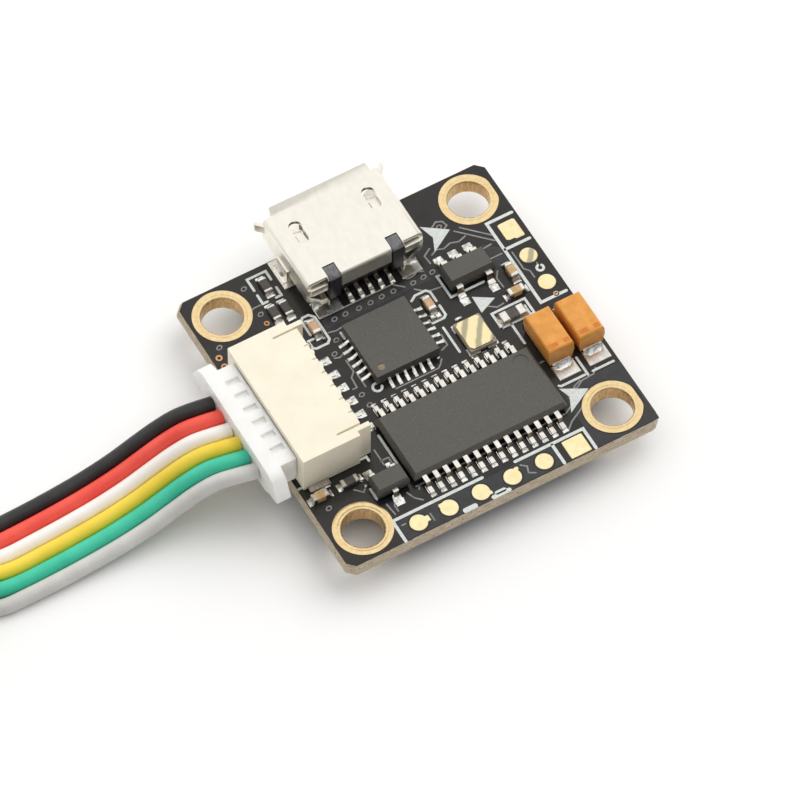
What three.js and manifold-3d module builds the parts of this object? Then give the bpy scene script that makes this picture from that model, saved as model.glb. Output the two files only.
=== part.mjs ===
// Flight controller board: a 20 mm square circuit board with a USB socket, a six-way wire socket and the
// six-wire harness plugged into it, a video overlay chip, a gyroscope, a processor on the underside, and
// small parts.
//
// Millimetres, +Z up. The origin is the centre of the square of mounting holes, on the plane that the
// board rests on, which is the flat lower face of the processor package. +Y points out of the USB mouth
// and -X points the way the plug pulls out.
import * as THREE from 'three';
import { mergeVertices } from 'three/addons/utils/BufferGeometryUtils.js';
import Module from 'manifold-3d';

const wasm = await Module();
wasm.setup();

// ---------------------------------------------------------------- driving dimensions

const board = {
  half: 10.05, edgeSlope: 0.12, edgeBand: 0.35, corner: 0.45, thickness: 1.0, bottom: 1.5,
};
board.top = board.bottom + board.thickness;

const hole = { pitch: 16, radius: 1.3, wall: 1.22, rimRadius: 1.72, rim: 0.05, flatAt: 9.6 };

const usb = {
  x: 0.1, rear: 5.8, length: 5.3, width: 7.5, height: 2.45, bottom: 0.05, sheet: 0.25, bend: 0.32,
  panelHalf: 1.6, slotX: 2.35, slotRear: 8.6, slotFront: 10.2, slotWidth: 0.66, slotWide: 0.8,
  springGap: 0.1,
  postX: 2.02, postWidth: 0.68, contactX: 0.1, contactPitch: 0.65, contactWidth: 0.28,
};

const wireWay = { count: 6, pitch: 1.0, y: 0, z: 1.22 };
const socket = {
  front: -9.65, step: -6.05, back: -5.65, rear: -5.2, left: -4.28, right: 4.32, height: 2.95, bottom: 0.05,
};
const cavity = { back: -6.6, half: 3.55, low: 0.42, high: 2.4 };
const plug = {
  tip: -7.0, neck: -9.7, flange: -10.75, back: -11.6, noseHalf: 3.5, noseLow: 0.5, noseHigh: 2.32,
  collarHalf: 3.58, collarLow: 0.45, collarHigh: 2.5, pullHigh: 2.6, wing: 4.85,
};
const wire = { diameter: 0.92, sides: 8, steps: 13 };
const coil = { x: -35.4, y: 7.25, meanRadius: 5.5, width: 4.1, height: 3.2, tieWidth: 1.6, tie: 0.3 };

const tssop = {
  x: 0.78, y: -4.72, length: 9.85, width: 4.5, height: 0.8, inset: 0.2, tips: 6.5, pitch: 0.65, perSide: 14,
};
const qfn = { x: -0.69, y: 1.71, size: 4.0, height: 0.8, pitch: 0.5, perSide: 6 };
const lqfp = { size: 7.0, height: 1.4, standoff: 0.1, tips: 9.0, pitch: 0.5, perSide: 12 };
const regulator = {
  x: 5.38, y: 3.7, length: 2.9, width: 1.5, height: 1.05, inset: 0.14, tips: 2.8, pitch: 0.95,
};
const transistor = {
  x: -5.38, y: -6.3, length: 2.0, width: 1.25, height: 0.95, inset: 0.1, tips: 2.1, pitch: 0.65,
};
const crystal = { x: 3.71, y: -0.1, width: 1.7, length: 2.1, base: 0.3, lid: 0.1, inset: 0.06 };
const tantalum = {
  xs: [7.0, 8.98], y: -2.64, width: 1.66, length: 2.86, height: 1.6, parting: 0.9, strap: 0.24,
};
const chip = { length: 1.0, width: 0.5, capHeight: 0.5, resistorHeight: 0.35 };

// ---------------------------------------------------------------- materials

function material(color, roughness, metalness = 0) {
  return new THREE.MeshStandardMaterial({ color, roughness, metalness });
}
const finish = {
  mask: material(0x17181a, 0.3),
  gold: material(0xe6c069, 0.3, 1),
  nickel: material(0xd9d6cd, 0.35, 1),
  tin: material(0xd4d2cc, 0.4, 1),
  blackPlastic: material(0x1b1b1d, 0.6),
  ivoryPlastic: material(0xf3e9d6, 0.5),
  nylon: material(0xf2f2ef, 0.4),
  epoxy: material(0x3a3936, 0.65),
  ceramic: material(0xd8cfba, 0.6),
  capacitor: material(0xb9855f, 0.55),
  resistor: material(0x2b2a28, 0.5),
  orange: material(0xe89433, 0.5),
  tie: material(0x202020, 0.5),
};
const wireColours = [
  ['black', 0x262527], ['red', 0xe8443a], ['white', 0xf4ece2],
  ['yellow', 0xe8c62f], ['green', 0x33bd8a], ['grey', 0xb9b6b4],
];

// ---------------------------------------------------------------- solid helpers

function solid(geometry) {
  const bare = geometry.clone();
  bare.deleteAttribute('normal');
  bare.deleteAttribute('uv');
  const merged = mergeVertices(bare, 1e-4);
  return new wasm.Manifold(new wasm.Mesh({
    numProp: 3,
    vertProperties: new Float32Array(merged.attributes.position.array),
    triVerts: new Uint32Array(merged.index.array),
  }));
}

function join(first, ...others) {
  return others.reduce((sum, other) => sum.add(other), first);
}

function cut(body, ...tools) {
  return tools.reduce((rest, tool) => rest.subtract(tool), body);
}

function piece(parent, name, body, look) {
  const { vertProperties, triVerts } = body.getMesh();
  const geometry = new THREE.BufferGeometry();
  geometry.setAttribute('position', new THREE.BufferAttribute(vertProperties, 3));
  geometry.setIndex(new THREE.BufferAttribute(triVerts, 1));
  geometry.computeVertexNormals();
  const mesh = new THREE.Mesh(geometry, look);
  mesh.name = name;
  parent.add(mesh);
}

// A box between two opposite corners.
function box(x0, x1, y0, y1, z0, z1) {
  const geometry = new THREE.BoxGeometry(x1 - x0, y1 - y0, z1 - z0);
  return solid(geometry.translate((x0 + x1) / 2, (y0 + y1) / 2, (z0 + z1) / 2));
}

function outline(points) {
  return new THREE.Shape(points.map(([a, b]) => new THREE.Vector2(a, b)));
}

// A flat outline in X and Y, raised from z0 to z1.
function slab(shape, z0, z1, curveSegments = 4) {
  const geometry = new THREE.ExtrudeGeometry(shape, { depth: z1 - z0, bevelEnabled: false, curveSegments });
  return solid(geometry.translate(0, 0, z0));
}

// An outline in Y and Z, drawn out along X from x0 to x1.
function alongX(shape, x0, x1) {
  const geometry = new THREE.ExtrudeGeometry(shape, { depth: x1 - x0, bevelEnabled: false });
  const turn = new THREE.Matrix4().makeBasis(
    new THREE.Vector3(0, 1, 0), new THREE.Vector3(0, 0, 1), new THREE.Vector3(1, 0, 0));
  return solid(geometry.applyMatrix4(turn).translate(x0, 0, 0));
}

// An outline in X and Z, drawn out along Y from y0 to y1.
function alongY(shape, y0, y1, curveSegments = 3) {
  const geometry = new THREE.ExtrudeGeometry(shape, { depth: y1 - y0, bevelEnabled: false, curveSegments });
  const turn = new THREE.Matrix4().makeBasis(
    new THREE.Vector3(1, 0, 0), new THREE.Vector3(0, 0, 1), new THREE.Vector3(0, -1, 0));
  return solid(geometry.applyMatrix4(turn).translate(0, y1, 0));
}

function cylinder(x, y, radius, z0, z1, segments = 20) {
  const geometry = new THREE.CylinderGeometry(radius, radius, z1 - z0, segments);
  return solid(geometry.rotateX(Math.PI / 2).translate(x, y, (z0 + z1) / 2));
}

// A moulded package: largest at its parting line, with drafted sides above and below it.
function moulded(x, y, length, width, z0, z1, inset) {
  const band = 0.12;
  const middle = (z0 + z1) / 2;
  function frustum(low, high, lowInset, highInset) {
    const corners = [];
    for (const [z, inset] of [[low, lowInset], [high, highInset]]) {
      const a = length / 2 - inset;
      const b = width / 2 - inset;
      corners.push([x - a, y - b, z], [x + a, y - b, z], [x + a, y + b, z], [x - a, y + b, z]);
    }
    const faces = [0, 2, 1, 0, 3, 2, 4, 5, 6, 4, 6, 7];
    for (let side = 0; side < 4; side += 1) {
      const next = (side + 1) % 4;
      faces.push(side, next, next + 4, side, next + 4, side + 4);
    }
    const geometry = new THREE.BufferGeometry();
    geometry.setAttribute('position', new THREE.Float32BufferAttribute(corners.flat(), 3));
    geometry.setIndex(faces);
    return solid(geometry);
  }
  return join(
    frustum(z0, middle - band / 2, inset / 2, 0),
    frustum(middle - band / 2, middle + band / 2, 0, 0),
    frustum(middle + band / 2, z1, 0, inset));
}

// Evenly spaced values about a middle.
function spaced(count, pitch, middle = 0) {
  return Array.from({ length: count }, (_, index) => middle + (index - (count - 1) / 2) * pitch);
}

// A gull-wing lead, in distance out from the package's middle against height above the board: level out
// of the package, down at the bend, and along the board to the tip.
function gullWing(inner, bend, tip, shoulder, sheet) {
  const low = shoulder - sheet / 2;
  const high = shoulder + sheet / 2;
  const lean = 0.08;
  const foot = bend + lean;
  return outline([
    [inner, low], [bend, low], [foot, 0], [tip, 0],
    [tip, sheet], [foot + sheet, sheet], [bend + sheet, high], [inner, high],
  ]);
}

function quarterTurns(body, turns, x, y) {
  return body.translate([-x, -y, 0]).rotate([0, 0, 90 * turns]).translate([x, y, 0]);
}

// ---------------------------------------------------------------- circuit board

const holeCentres = [[-1, -1], [1, -1], [1, 1], [-1, 1]].map(([i, j]) => {
  return [i * hole.pitch / 2, j * hole.pitch / 2];
});

function circuitBoard(parent) {
  const { half, edgeSlope, edgeBand } = board;
  const inner = half - edgeSlope;
  function squareOutline(a) {
    const c = a - board.corner;
    return [[-c, -a], [c, -a], [a, -c], [a, c], [c, a], [-c, a], [-a, c], [-a, -c]];
  }
  // Scored and snapped edges: full size in the middle of the thickness, sloping in to both faces.
  const levels = [
    [board.bottom, inner], [board.bottom + edgeBand, half],
    [board.top - edgeBand, half], [board.top, inner],
  ];
  const points = levels.flatMap(([z, a]) => squareOutline(a).map(([x, y]) => [x, y, z])).flat();
  const faces = [];
  for (let side = 1; side < 7; side += 1) {
    faces.push(0, side + 1, side, 24, 24 + side, 25 + side);
  }
  for (let level = 0; level < 3; level += 1) {
    for (let side = 0; side < 8; side += 1) {
      const next = (side + 1) % 8;
      const a = level * 8 + side;
      const b = level * 8 + next;
      faces.push(a, b, b + 8, a, b + 8, a + 8);
    }
  }
  const geometry = new THREE.BufferGeometry();
  geometry.setAttribute('position', new THREE.Float32BufferAttribute(points, 3));
  geometry.setIndex(faces);
  const drills = holeCentres.map(([x, y]) => cylinder(x, y, hole.radius, board.bottom - 1, board.top + 1));
  piece(parent, 'circuit_board', cut(solid(geometry), ...drills), finish.mask);
}

// The plated lining of each mounting hole, with a gold rim on both faces.
function holePlating(parent) {
  const corners = ['rear_left', 'rear_right', 'front_right', 'front_left'];
  holeCentres.forEach(([x, y], index) => {
    const low = board.bottom - hole.rim;
    const high = board.top + hole.rim;
    const rims = join(
      cylinder(x, y, hole.rimRadius, low, board.bottom),
      cylinder(x, y, hole.rimRadius, board.top, high));
    const lining = cylinder(x, y, hole.radius - 0.02, low, high);
    const bore = cylinder(x, y, hole.wall, low - 1, high + 1);
    const trim = box(hole.flatAt, hole.flatAt + 1, -board.half, board.half, low - 1, high + 1);
    piece(parent, `hole_plating_${corners[index]}`, cut(join(rims, lining), bore, trim), finish.gold);
  });
}

// ---------------------------------------------------------------- USB socket

// The shell's section: wide at the top, with sloping lower corners.
function shellSection(inset) {
  const a = usb.width / 2 - inset;
  const high = usb.height - inset;
  const low = usb.bottom + inset;
  const shape = new THREE.Shape();
  const radius = 0.4 - inset * 0.6;
  const chamfer = 0.75;
  shape.moveTo(-a + chamfer, low);
  shape.lineTo(a - chamfer, low);
  shape.lineTo(a, low + chamfer);
  shape.lineTo(a, high - radius);
  shape.absarc(a - radius, high - radius, radius, 0, Math.PI / 2);
  shape.lineTo(-a + radius, high);
  shape.absarc(-a + radius, high - radius, radius, Math.PI / 2, Math.PI);
  shape.lineTo(-a, low + chamfer);
  shape.closePath();
  return shape;
}

// A box given by how far it lies from the middle, on the side that hand names.
function sideBox(hand, inner, outer, y0, y1, z0, z1) {
  return box(Math.min(hand * inner, hand * outer), Math.max(hand * inner, hand * outer), y0, y1, z0, z1);
}

// A slot with round ends, lying along Y.
function roundSlot(x, width, y0, y1, z0, z1) {
  const r = width / 2;
  return join(
    box(x - r, x + r, y0 + r, y1 - r, z0, z1),
    cylinder(x, y0 + r, r, z0, z1, 24),
    cylinder(x, y1 - r, r, z0, z1, 24));
}

// The lips round the mouth: one along the top, one along the bottom, and a small ear on each side.
function shellLips(front, side) {
  const { sheet, height, bottom } = usb;
  const lipHalf = side - 0.55;
  const top = alongX(outline([
    [front - 0.2, height - sheet], [front - 0.02, height - sheet], [front + 0.5, height + 0.06],
    [front + 0.42, height + 0.28], [front - 0.06, height], [front - 0.2, height],
  ]), -lipHalf, lipHalf);
  const corners = [-1, 1].map((hand) => slab(outline([
    [hand * lipHalf, front + 0.05], [hand * (lipHalf + 0.1), front + 0.7],
    [hand * (lipHalf - 0.16), front + 0.7],
  ]), height - 0.1, height + 0.5));
  const lower = alongX(outline([
    [front - 0.1, bottom], [front + 0.4, bottom - 0.42], [front + 0.5, bottom - 0.2],
    [front, bottom + sheet], [front - 0.1, bottom + sheet],
  ]), -2.6, 2.6);
  const ears = [-1, 1].map((hand) => join(
    slab(outline([
      [hand * (side - sheet), front - 0.22], [hand * side, front - 0.24],
      [hand * (side + 0.38), front + 0.16], [hand * (side + 0.27), front + 0.3],
      [hand * (side - sheet), front - 0.02],
    ]), 1.45, 2.05),
    cylinder(hand * (side + 0.32), front + 0.26, 0.12, 1.5, 2.05, 12)));
  return join(cut(top, ...corners), lower, ...ears);
}

function usbShell(parent) {
  const { rear, sheet, height, width, bend, panelHalf } = usb;
  const { slotX, slotWidth, slotWide, slotRear, slotFront, springGap } = usb;
  const front = rear + usb.length;
  const side = width / 2;
  const gap = 0.22;
  const tabLow = 1.45;
  const tabHigh = 1.98;
  const inside = alongY(shellSection(sheet), rear - 1, front + 1, 8);
  let shell = cut(alongY(shellSection(0), rear, front, 8), inside);

  for (const hand of [-1, 1]) {
    // Behind each post the top and the side stop short; a tab folds from the side round the corner.
    const aboveTab = sideBox(hand, 2.45, side + 0.1, rear - 0.1, rear + gap, tabHigh, height + 0.1);
    const belowTab = sideBox(hand, 2.45, side + 0.1, rear - 0.1, rear + gap, -0.1, tabLow);
    const tab = sideBox(hand, 2.5, side - 0.1, rear, rear + sheet, tabLow, tabHigh);
    // The notch in the top that the moulding's post fills.
    const notch = sideBox(
      hand, usb.postX - 0.38, usb.postX + 0.38, rear - 0.1, rear + 0.9, height - 0.6, height + 0.1);
    // A soldering leg on each side, with its foot turned out.
    const leg = sideBox(hand, side - sheet, side + 0.1, 8.15, 9.4, 0, 1.1);
    const foot = sideBox(hand, side - sheet, side + 0.34, 8.15, 9.4, 0, 0.16);
    shell = join(cut(join(shell, tab), aboveTab, belowTab, notch), leg, foot);
  }
  // The rear panel bent down between the posts; its bend and the tabs' bends are round.
  const panel = box(-panelHalf, panelHalf, rear, rear + sheet, 1.2, height);
  const folds = [[-side, -panelHalf, bend], [-panelHalf, panelHalf, bend / 2], [panelHalf, side, bend]];
  const bendWaste = join(...folds.map(([x0, x1, radius]) => cut(
    box(x0, x1, rear - 0.1, rear + radius, height - radius, height + 0.1),
    cylinder(0, 0, radius, x0, x1, 32).rotate([0, 90, 0]).translate([0, rear + radius, height - radius]))));
  const cornerWaste = [-1, 1].map((hand) => cut(
    sideBox(hand, side - bend, side + 0.1, rear - 0.1, rear + bend, tabLow - 0.1, tabHigh),
    cylinder(hand * (side - bend), rear + bend, bend, tabLow - 1, tabHigh + 1, 32)));
  const floorCut = box(-2.4, 2.4, rear - 0.1, rear + 0.9, -0.1, 0.9);
  shell = cut(join(cut(shell, floorCut), panel), bendWaste, ...cornerWaste);

  for (const hand of [-1, 1]) {
    // A window in the top with its spring tongue, rooted at the rear end and sloping in.
    const x = hand * slotX;
    const wideFrom = slotRear + 0.75;
    const over = height + 1;
    const window = join(
      roundSlot(x, slotWidth, slotRear, slotFront - 0.1, height - 0.6, height + 0.1),
      roundSlot(x, slotWide, wideFrom, slotFront, height - 0.6, height + 0.1));
    const spring = alongX(outline([
      [slotRear - 0.1, height - 0.24], [slotRear - 0.1, height - 0.1], [slotRear + 0.3, height - 0.15],
      [slotFront - 0.62, height - 0.26], [slotFront - 0.34, height - 0.44],
      [slotFront - 0.4, height - 0.56], [slotFront - 0.7, height - 0.41], [slotRear + 0.3, height - 0.29],
    ]), x - slotWidth, x + slotWidth);
    const half = slotWidth / 2 - springGap;
    const plan = join(
      roundSlot(x, 2 * half, slotRear + 0.05, slotFront - 0.4, 0, over),
      cylinder(x, slotFront - 0.7, slotWide / 2 - springGap, 0, over, 24),
      box(x - half, x + half, slotRear - 0.1, slotRear + 0.4, 0, over));
    shell = join(cut(shell, window), spring.intersect(plan));
  }
  piece(parent, 'usb_shell', join(shell, shellLips(front, side)), finish.nickel);
}

// One contact: its foot on the board, its rise behind the moulding, and its blade under the tongue.
function contactOutline(gap = 0) {
  const toe = usb.rear - 0.45 - gap;
  const rise = usb.rear + 0.3 - gap;
  const inside = usb.rear + 0.45 + gap;
  const blade = usb.rear + 4.4 + gap;
  return outline([
    [toe, -gap], [inside, -gap], [inside, 1.15 - gap], [blade, 1.15 - gap],
    [blade, 1.32 + gap], [rise, 1.32 + gap], [rise, 0.16 + gap], [toe, 0.16 + gap],
  ]);
}

function usbInside(parent) {
  const { rear, height, postX, postWidth, contactX, contactPitch, contactWidth } = usb;
  const block = box(-2.35, 2.35, rear + 0.3, rear + 1.5, 0.35, height - 0.3);
  const tongue = box(-1.85, 1.85, rear + 1.4, rear + 4.5, 1.2, 1.8);
  const posts = [-1, 1].map((hand) => {
    const low = hand * postX - postWidth / 2;
    return alongX(outline([
      [rear - 0.05, 0.4], [rear + 0.4, 0.4], [rear + 0.4, height - 0.32], [rear + 0.84, height - 0.3],
      [rear + 0.84, height - 0.02], [rear + 0.3, height - 0.02], [rear - 0.05, height - 0.2],
    ]), low, low + postWidth);
  });
  const xs = spaced(5, contactPitch, contactX);
  const half = contactWidth / 2;
  const play = 0.02;
  const grooves = xs.map((x) => alongX(contactOutline(play), x - half - play, x + half + play));
  piece(parent, 'usb_insulator', cut(join(block, tongue, ...posts), ...grooves), finish.blackPlastic);
  xs.forEach((x, index) => {
    piece(parent, `usb_contact_${index + 1}`, alongX(contactOutline(), x - half, x + half), finish.gold);
  });
}

// ---------------------------------------------------------------- wire socket

const wayYs = spaced(wireWay.count, -wireWay.pitch, wireWay.y);

// A pin: its blade in the cavity, its drop down the rear wall, and its foot.
function pinOutline(gap = 0) {
  const low = wireWay.z - 0.14 - gap;
  const high = wireWay.z + 0.14 + gap;
  const drop = -5.95 - gap;
  const back = -5.68 + gap;
  const toe = -4.45 + gap;
  return outline([
    [-8.6, low], [drop, low], [drop, -gap], [toe, -gap],
    [toe, 0.16 + gap], [back, 0.16 + gap], [back, high], [-8.6, high],
  ]);
}

// An anchor at one end of the socket: a blade up inside the end wall and a foot outside it.
function anchorOutline(hand, gap = 0) {
  const end = hand < 0 ? socket.left : socket.right;
  const inner = end - hand * (0.42 + gap);
  const outer = end - hand * (0.24 - gap);
  const toe = end + hand * (0.38 + gap);
  const top = 1.3 + gap;
  return outline([
    [inner, -gap], [toe, -gap], [toe, 0.16 + gap], [outer, 0.16 + gap], [outer, top], [inner, top],
  ]);
}

function wireSocket(parent) {
  const { front, step, back, rear, left, right, height, bottom } = socket;
  const y = wireWay.y;
  const over = height + 1;
  const stepIn = 0.32;
  const endWall = 0.3;
  const low = left + stepIn;
  const high = right - stepIn;
  // The main block, the narrower rear with its two end walls, and the ribs between the pins.
  const block = join(
    box(front, step, left, right, bottom, height),
    box(step, back, low, high, bottom, height),
    box(step, rear, low, low + endWall, bottom, height),
    box(step, rear, high - endWall, high, bottom, height));
  const ribs = wayYs.slice(1).map((way) => {
    return cylinder(back, way + wireWay.pitch / 2, 0.22, bottom, height - 0.35, 16);
  });
  const mouth = box(front - 1, cavity.back, y - cavity.half, y + cavity.half, cavity.low, cavity.high);
  // A shallow recess along the mouth's upper edge, and a slot across each end of the top.
  const lead = box(front - 1, front + 0.35, y - 2.9, y + 2.9, cavity.high - 0.1, cavity.high + 0.12);
  const endSlots = [low + endWall, high - endWall - 0.12].map((at) => {
    return box(step - 1.1, rear + 1, at, at + 0.12, height - 0.4, over);
  });
  const pinSlots = wayYs.map((way) => alongY(pinOutline(0.03), way - 0.18, way + 0.18));
  const rearSlots = wayYs.map((way) => {
    return box(back - 0.1, rear + 1, way - 0.22, way + 0.22, -1, wireWay.z + 0.3);
  });
  const topNicks = wayYs.map((way) => {
    return box(back - 0.26, rear + 1, way - 0.2, way - 0.12, height - 0.6, over);
  });
  const anchorSlots = [-1, 1].map((hand) => alongX(anchorOutline(hand, 0.02), -9.42, -8.08));
  const housing = cut(
    join(block, ...ribs), mouth, lead, ...endSlots, ...pinSlots, ...rearSlots, ...topNicks, ...anchorSlots);
  piece(parent, 'socket_housing', housing, finish.ivoryPlastic);
  wayYs.forEach((way, index) => {
    piece(parent, `socket_pin_${index + 1}`, alongY(pinOutline(), way - 0.14, way + 0.14), finish.tin);
  });
  piece(parent, 'socket_anchor_left', alongX(anchorOutline(-1), -9.4, -8.1), finish.tin);
  piece(parent, 'socket_anchor_right', alongX(anchorOutline(1), -9.4, -8.1), finish.tin);
}

// ---------------------------------------------------------------- plug and crimp contacts

// Half of the pull flange's outline; its end slopes out downwards, so that a fingernail catches under it.
function pullHalf(hand) {
  const { pullHigh, wing } = plug;
  return [
    [3.72, pullHigh], [4.3, pullHigh - 0.35], [wing - 0.12, 1.35], [wing, 1.05], [wing - 0.25, 0.8],
    [3.9, 0.75], [3.5, 0.4],
  ].map(([out, z]) => [wireWay.y + hand * out, z]);
}

function wirePlug(parent) {
  const { tip, neck, flange, back, noseHalf, noseLow, noseHigh, collarHalf, collarLow, collarHigh } = plug;
  const { y, z } = wireWay;
  const cell = 0.35;
  const dip = 0.22;
  const nose = box(neck, tip, y - noseHalf, y + noseHalf, noseLow, noseHigh);
  const collar = box(flange, neck, y - collarHalf, y + collarHalf, collarLow, collarHigh);
  const pull = alongX(outline([...pullHalf(1), ...pullHalf(-1).reverse()]), back, flange);
  const cells = wayYs.map((way) => box(back - 1, tip + 1, way - 0.3, way + 0.3, z - cell, z + cell));
  const windows = wayYs.map((way) => {
    return box(flange + 0.02, neck - 0.2, way - 0.22, way + 0.22, collarHigh - dip, collarHigh + 1);
  });
  piece(parent, 'plug_housing', cut(join(nose, collar, pull), ...cells, ...windows), finish.nylon);
  wayYs.forEach((way, index) => {
    const bar = box(back + 0.05, tip - 0.3, way - 0.27, way + 0.27, z - 0.31, z + 0.31);
    const bore = box(-8.9, tip + 1, way - 0.18, way + 0.18, z - 0.18, z + 0.18);
    piece(parent, `crimp_contact_${index + 1}`, cut(bar, bore), finish.gold);
  });
}

// ---------------------------------------------------------------- wires and their coil

// The ribbon of wires: place along X, middle in Y, height of the lowest wires' middle above the resting
// plane, spacing of the wires, and how far the two halves have folded up into a bundle, in degrees.
const ribbon = [
  [-11.65, 0, 3.72, 1.0, 0],
  [-12.6, 0.13, 3.8, 0.99, 0],
  [-13.8, 0.46, 3.5, 0.97, 0],
  [-15.0, 0.7, 2.85, 0.96, 0],
  [-16.3, 0.8, 2.15, 0.96, 0],
  [-17.8, 0.82, 1.5, 0.96, 0],
  [-19.6, 0.8, 1.05, 0.96, 0],
  [-21.5, 0.78, 0.78, 0.96, 0],
  [-23.5, 0.76, 0.62, 0.96, 0],
  [-25.6, 0.76, 0.54, 0.96, 0],
  [-27.2, 0.76, 0.5, 0.97, 22],
  [-28.6, 0.76, 0.48, 0.98, 55],
  [-29.9, 0.76, 0.48, 1.0, 85],
];

// The first and last wires stay lowest; the two beside them ride up, and the middle pair ends on top.
function wirePoint(station, index) {
  const [x, y, z, spacing, fold] = station;
  const turn = THREE.MathUtils.degToRad(fold);
  const side = index < wireWay.count / 2 ? 1 : -1;
  const rank = index < wireWay.count / 2 ? 2 - index : index - 3;
  const across = spacing / 2 + rank * spacing * Math.cos(turn);
  const up = (2 - rank) * spacing * Math.sin(turn);
  return new THREE.Vector3(x, y + side * across, z + up);
}

function wires(parent) {
  wireColours.forEach(([colour, tint], index) => {
    const path = new THREE.CatmullRomCurve3(ribbon.map((station) => wirePoint(station, index)));
    const section = outline(Array.from({ length: wire.sides }, (_, corner) => {
      const turn = (corner + 0.5) * 2 * Math.PI / wire.sides;
      return [Math.cos(turn) * wire.diameter / 2, Math.sin(turn) * wire.diameter / 2];
    }));
    const options = { steps: wire.steps, extrudePath: path, bevelEnabled: false };
    const geometry = new THREE.ExtrudeGeometry(section, options);
    piece(parent, `wire_${colour}`, solid(geometry), material(tint, 0.5));
  });
}

function wireCoil(parent) {
  const { x, y, meanRadius, width, height, tieWidth, tie } = coil;
  const inner = meanRadius - width / 2;
  const outer = meanRadius + width / 2;
  const round = 0.6;
  const profile = [
    [inner + round, 0], [outer - round, 0], [outer, round], [outer, height - round],
    [outer - round, height], [inner + round, height], [inner, height - round], [inner, round],
    [inner + round, 0],
  ].map(([radius, z]) => new THREE.Vector2(radius, z));
  const ring = solid(new THREE.LatheGeometry(profile, 28).rotateX(Math.PI / 2)).translate([x, y, 0]);
  // The tie goes round the turns on the side away from the board; the ring is relieved under it.
  const slack = 0.05;
  const curve = 0.2;
  const far = x - outer - tie - slack;
  const near = x - inner + tie + curve;
  const y0 = y - tieWidth / 2;
  const y1 = y + tieWidth / 2;
  const relief = box(far - 1, near + 1, y0 - slack, y1 + slack, -1, tie + slack);
  piece(parent, 'wire_coil', cut(ring, relief), material(0x8a8a88, 0.5));
  const band = cut(
    box(far, near, y0, y1, 0, height + slack + tie),
    box(far + tie, near - tie, y0 - 1, y1 + 1, tie, height + slack));
  piece(parent, 'coil_tie', band, finish.tie);
}

// ---------------------------------------------------------------- chips

// A package with leads on its two long sides: reach is how far its leads run level beyond the moulding,
// and the lists place the leads along X on the -Y side and on the +Y side.
function twoSidedChip(size, nearXs, farXs, leadWidth, sheet, reach) {
  const { x, y, length, width, height, inset, tips } = size;
  const standoff = 0.1;
  const shoulder = (height + standoff) / 2;
  const low = shoulder - sheet / 2;
  const high = shoulder + sheet / 2;
  const inner = width / 2 - 0.45;
  const wing = gullWing(inner, width / 2 + reach, tips / 2, shoulder, sheet);
  const blank = alongX(wing, -leadWidth / 2, leadWidth / 2);
  const rows = [
    ...nearXs.map((leadX) => quarterTurns(blank, 2, 0, 0).translate([x + leadX, y, 0])),
    ...farXs.map((leadX) => blank.translate([x + leadX, y, 0])),
  ];
  const half = Math.max(...nearXs, ...farXs) + leadWidth / 2;
  const bars = [
    box(x - half, x + half, y - inner - 0.1, y - inner + 0.1, low, high),
    box(x - half, x + half, y + inner - 0.1, y + inner + 0.1, low, high),
  ];
  const paddleHalf = length * 0.2;
  const paddle = box(x - paddleHalf, x + paddleHalf, y - inner, y + inner, low, high);
  const body = moulded(x, y, length, width, standoff, height, inset);
  return { body, frame: join(...rows, ...bars, paddle) };
}

function overlayChip(parent) {
  const xs = spaced(tssop.perSide, tssop.pitch, -0.08);
  const { body, frame } = twoSidedChip(tssop, xs, xs, 0.3, 0.15, 0.34);
  const dimple = cylinder(tssop.x + 4.02, tssop.y + 1.42, 0.45, tssop.height - 0.05, tssop.height + 1, 24);
  piece(parent, 'overlay_chip_body', cut(body, frame, dimple), finish.epoxy);
  piece(parent, 'overlay_chip_leads', frame, finish.tin);
}

function regulatorChip(parent) {
  const { pitch } = regulator;
  const { body, frame } = twoSidedChip(regulator, [-pitch, pitch], [-pitch, 0, pitch], 0.4, 0.15, 0.12);
  piece(parent, 'regulator_body', cut(body, frame), finish.epoxy);
  piece(parent, 'regulator_leads', frame, finish.tin);
}

function smallTransistor(parent) {
  const { pitch } = transistor;
  const { body, frame } = twoSidedChip(transistor, [0], [-pitch, pitch], 0.34, 0.12, 0.1);
  piece(parent, 'transistor_body', cut(body, frame), finish.epoxy);
  piece(parent, 'transistor_leads', frame, finish.tin);
}

function gyroscope(parent) {
  const { x, y, size, height, pitch, perSide } = qfn;
  const half = size / 2;
  const pads = [];
  for (let turns = 0; turns < 4; turns += 1) {
    for (const place of spaced(perSide, pitch)) {
      const pad = box(place - 0.12, place + 0.12, half - 0.4, half + 0.03, 0, 0.22);
      pads.push(quarterTurns(pad, turns, 0, 0));
    }
    pads.push(quarterTurns(box(-half + 0.3, half - 0.3, half - 0.45, half - 0.3, 0.1, 0.22), turns, 0, 0));
    pads.push(quarterTurns(box(-0.1, 0.1, 1.2, half - 0.3, 0.1, 0.22), turns, 0, 0));
  }
  const paddle = box(-1.3, 1.3, -1.3, 1.3, 0, 0.22);
  const frame = join(paddle, ...pads).translate([x, y, 0]);
  const dot = cylinder(x - half + 0.55, y - half + 0.55, 0.2, height - 0.03, height + 1, 12);
  const body = box(x - half, x + half, y - half, y + half, 0.04, height);
  piece(parent, 'gyroscope_body', cut(body, frame, dot), finish.epoxy);
  piece(parent, 'gyroscope_pads', frame, finish.gold);
}

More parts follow.
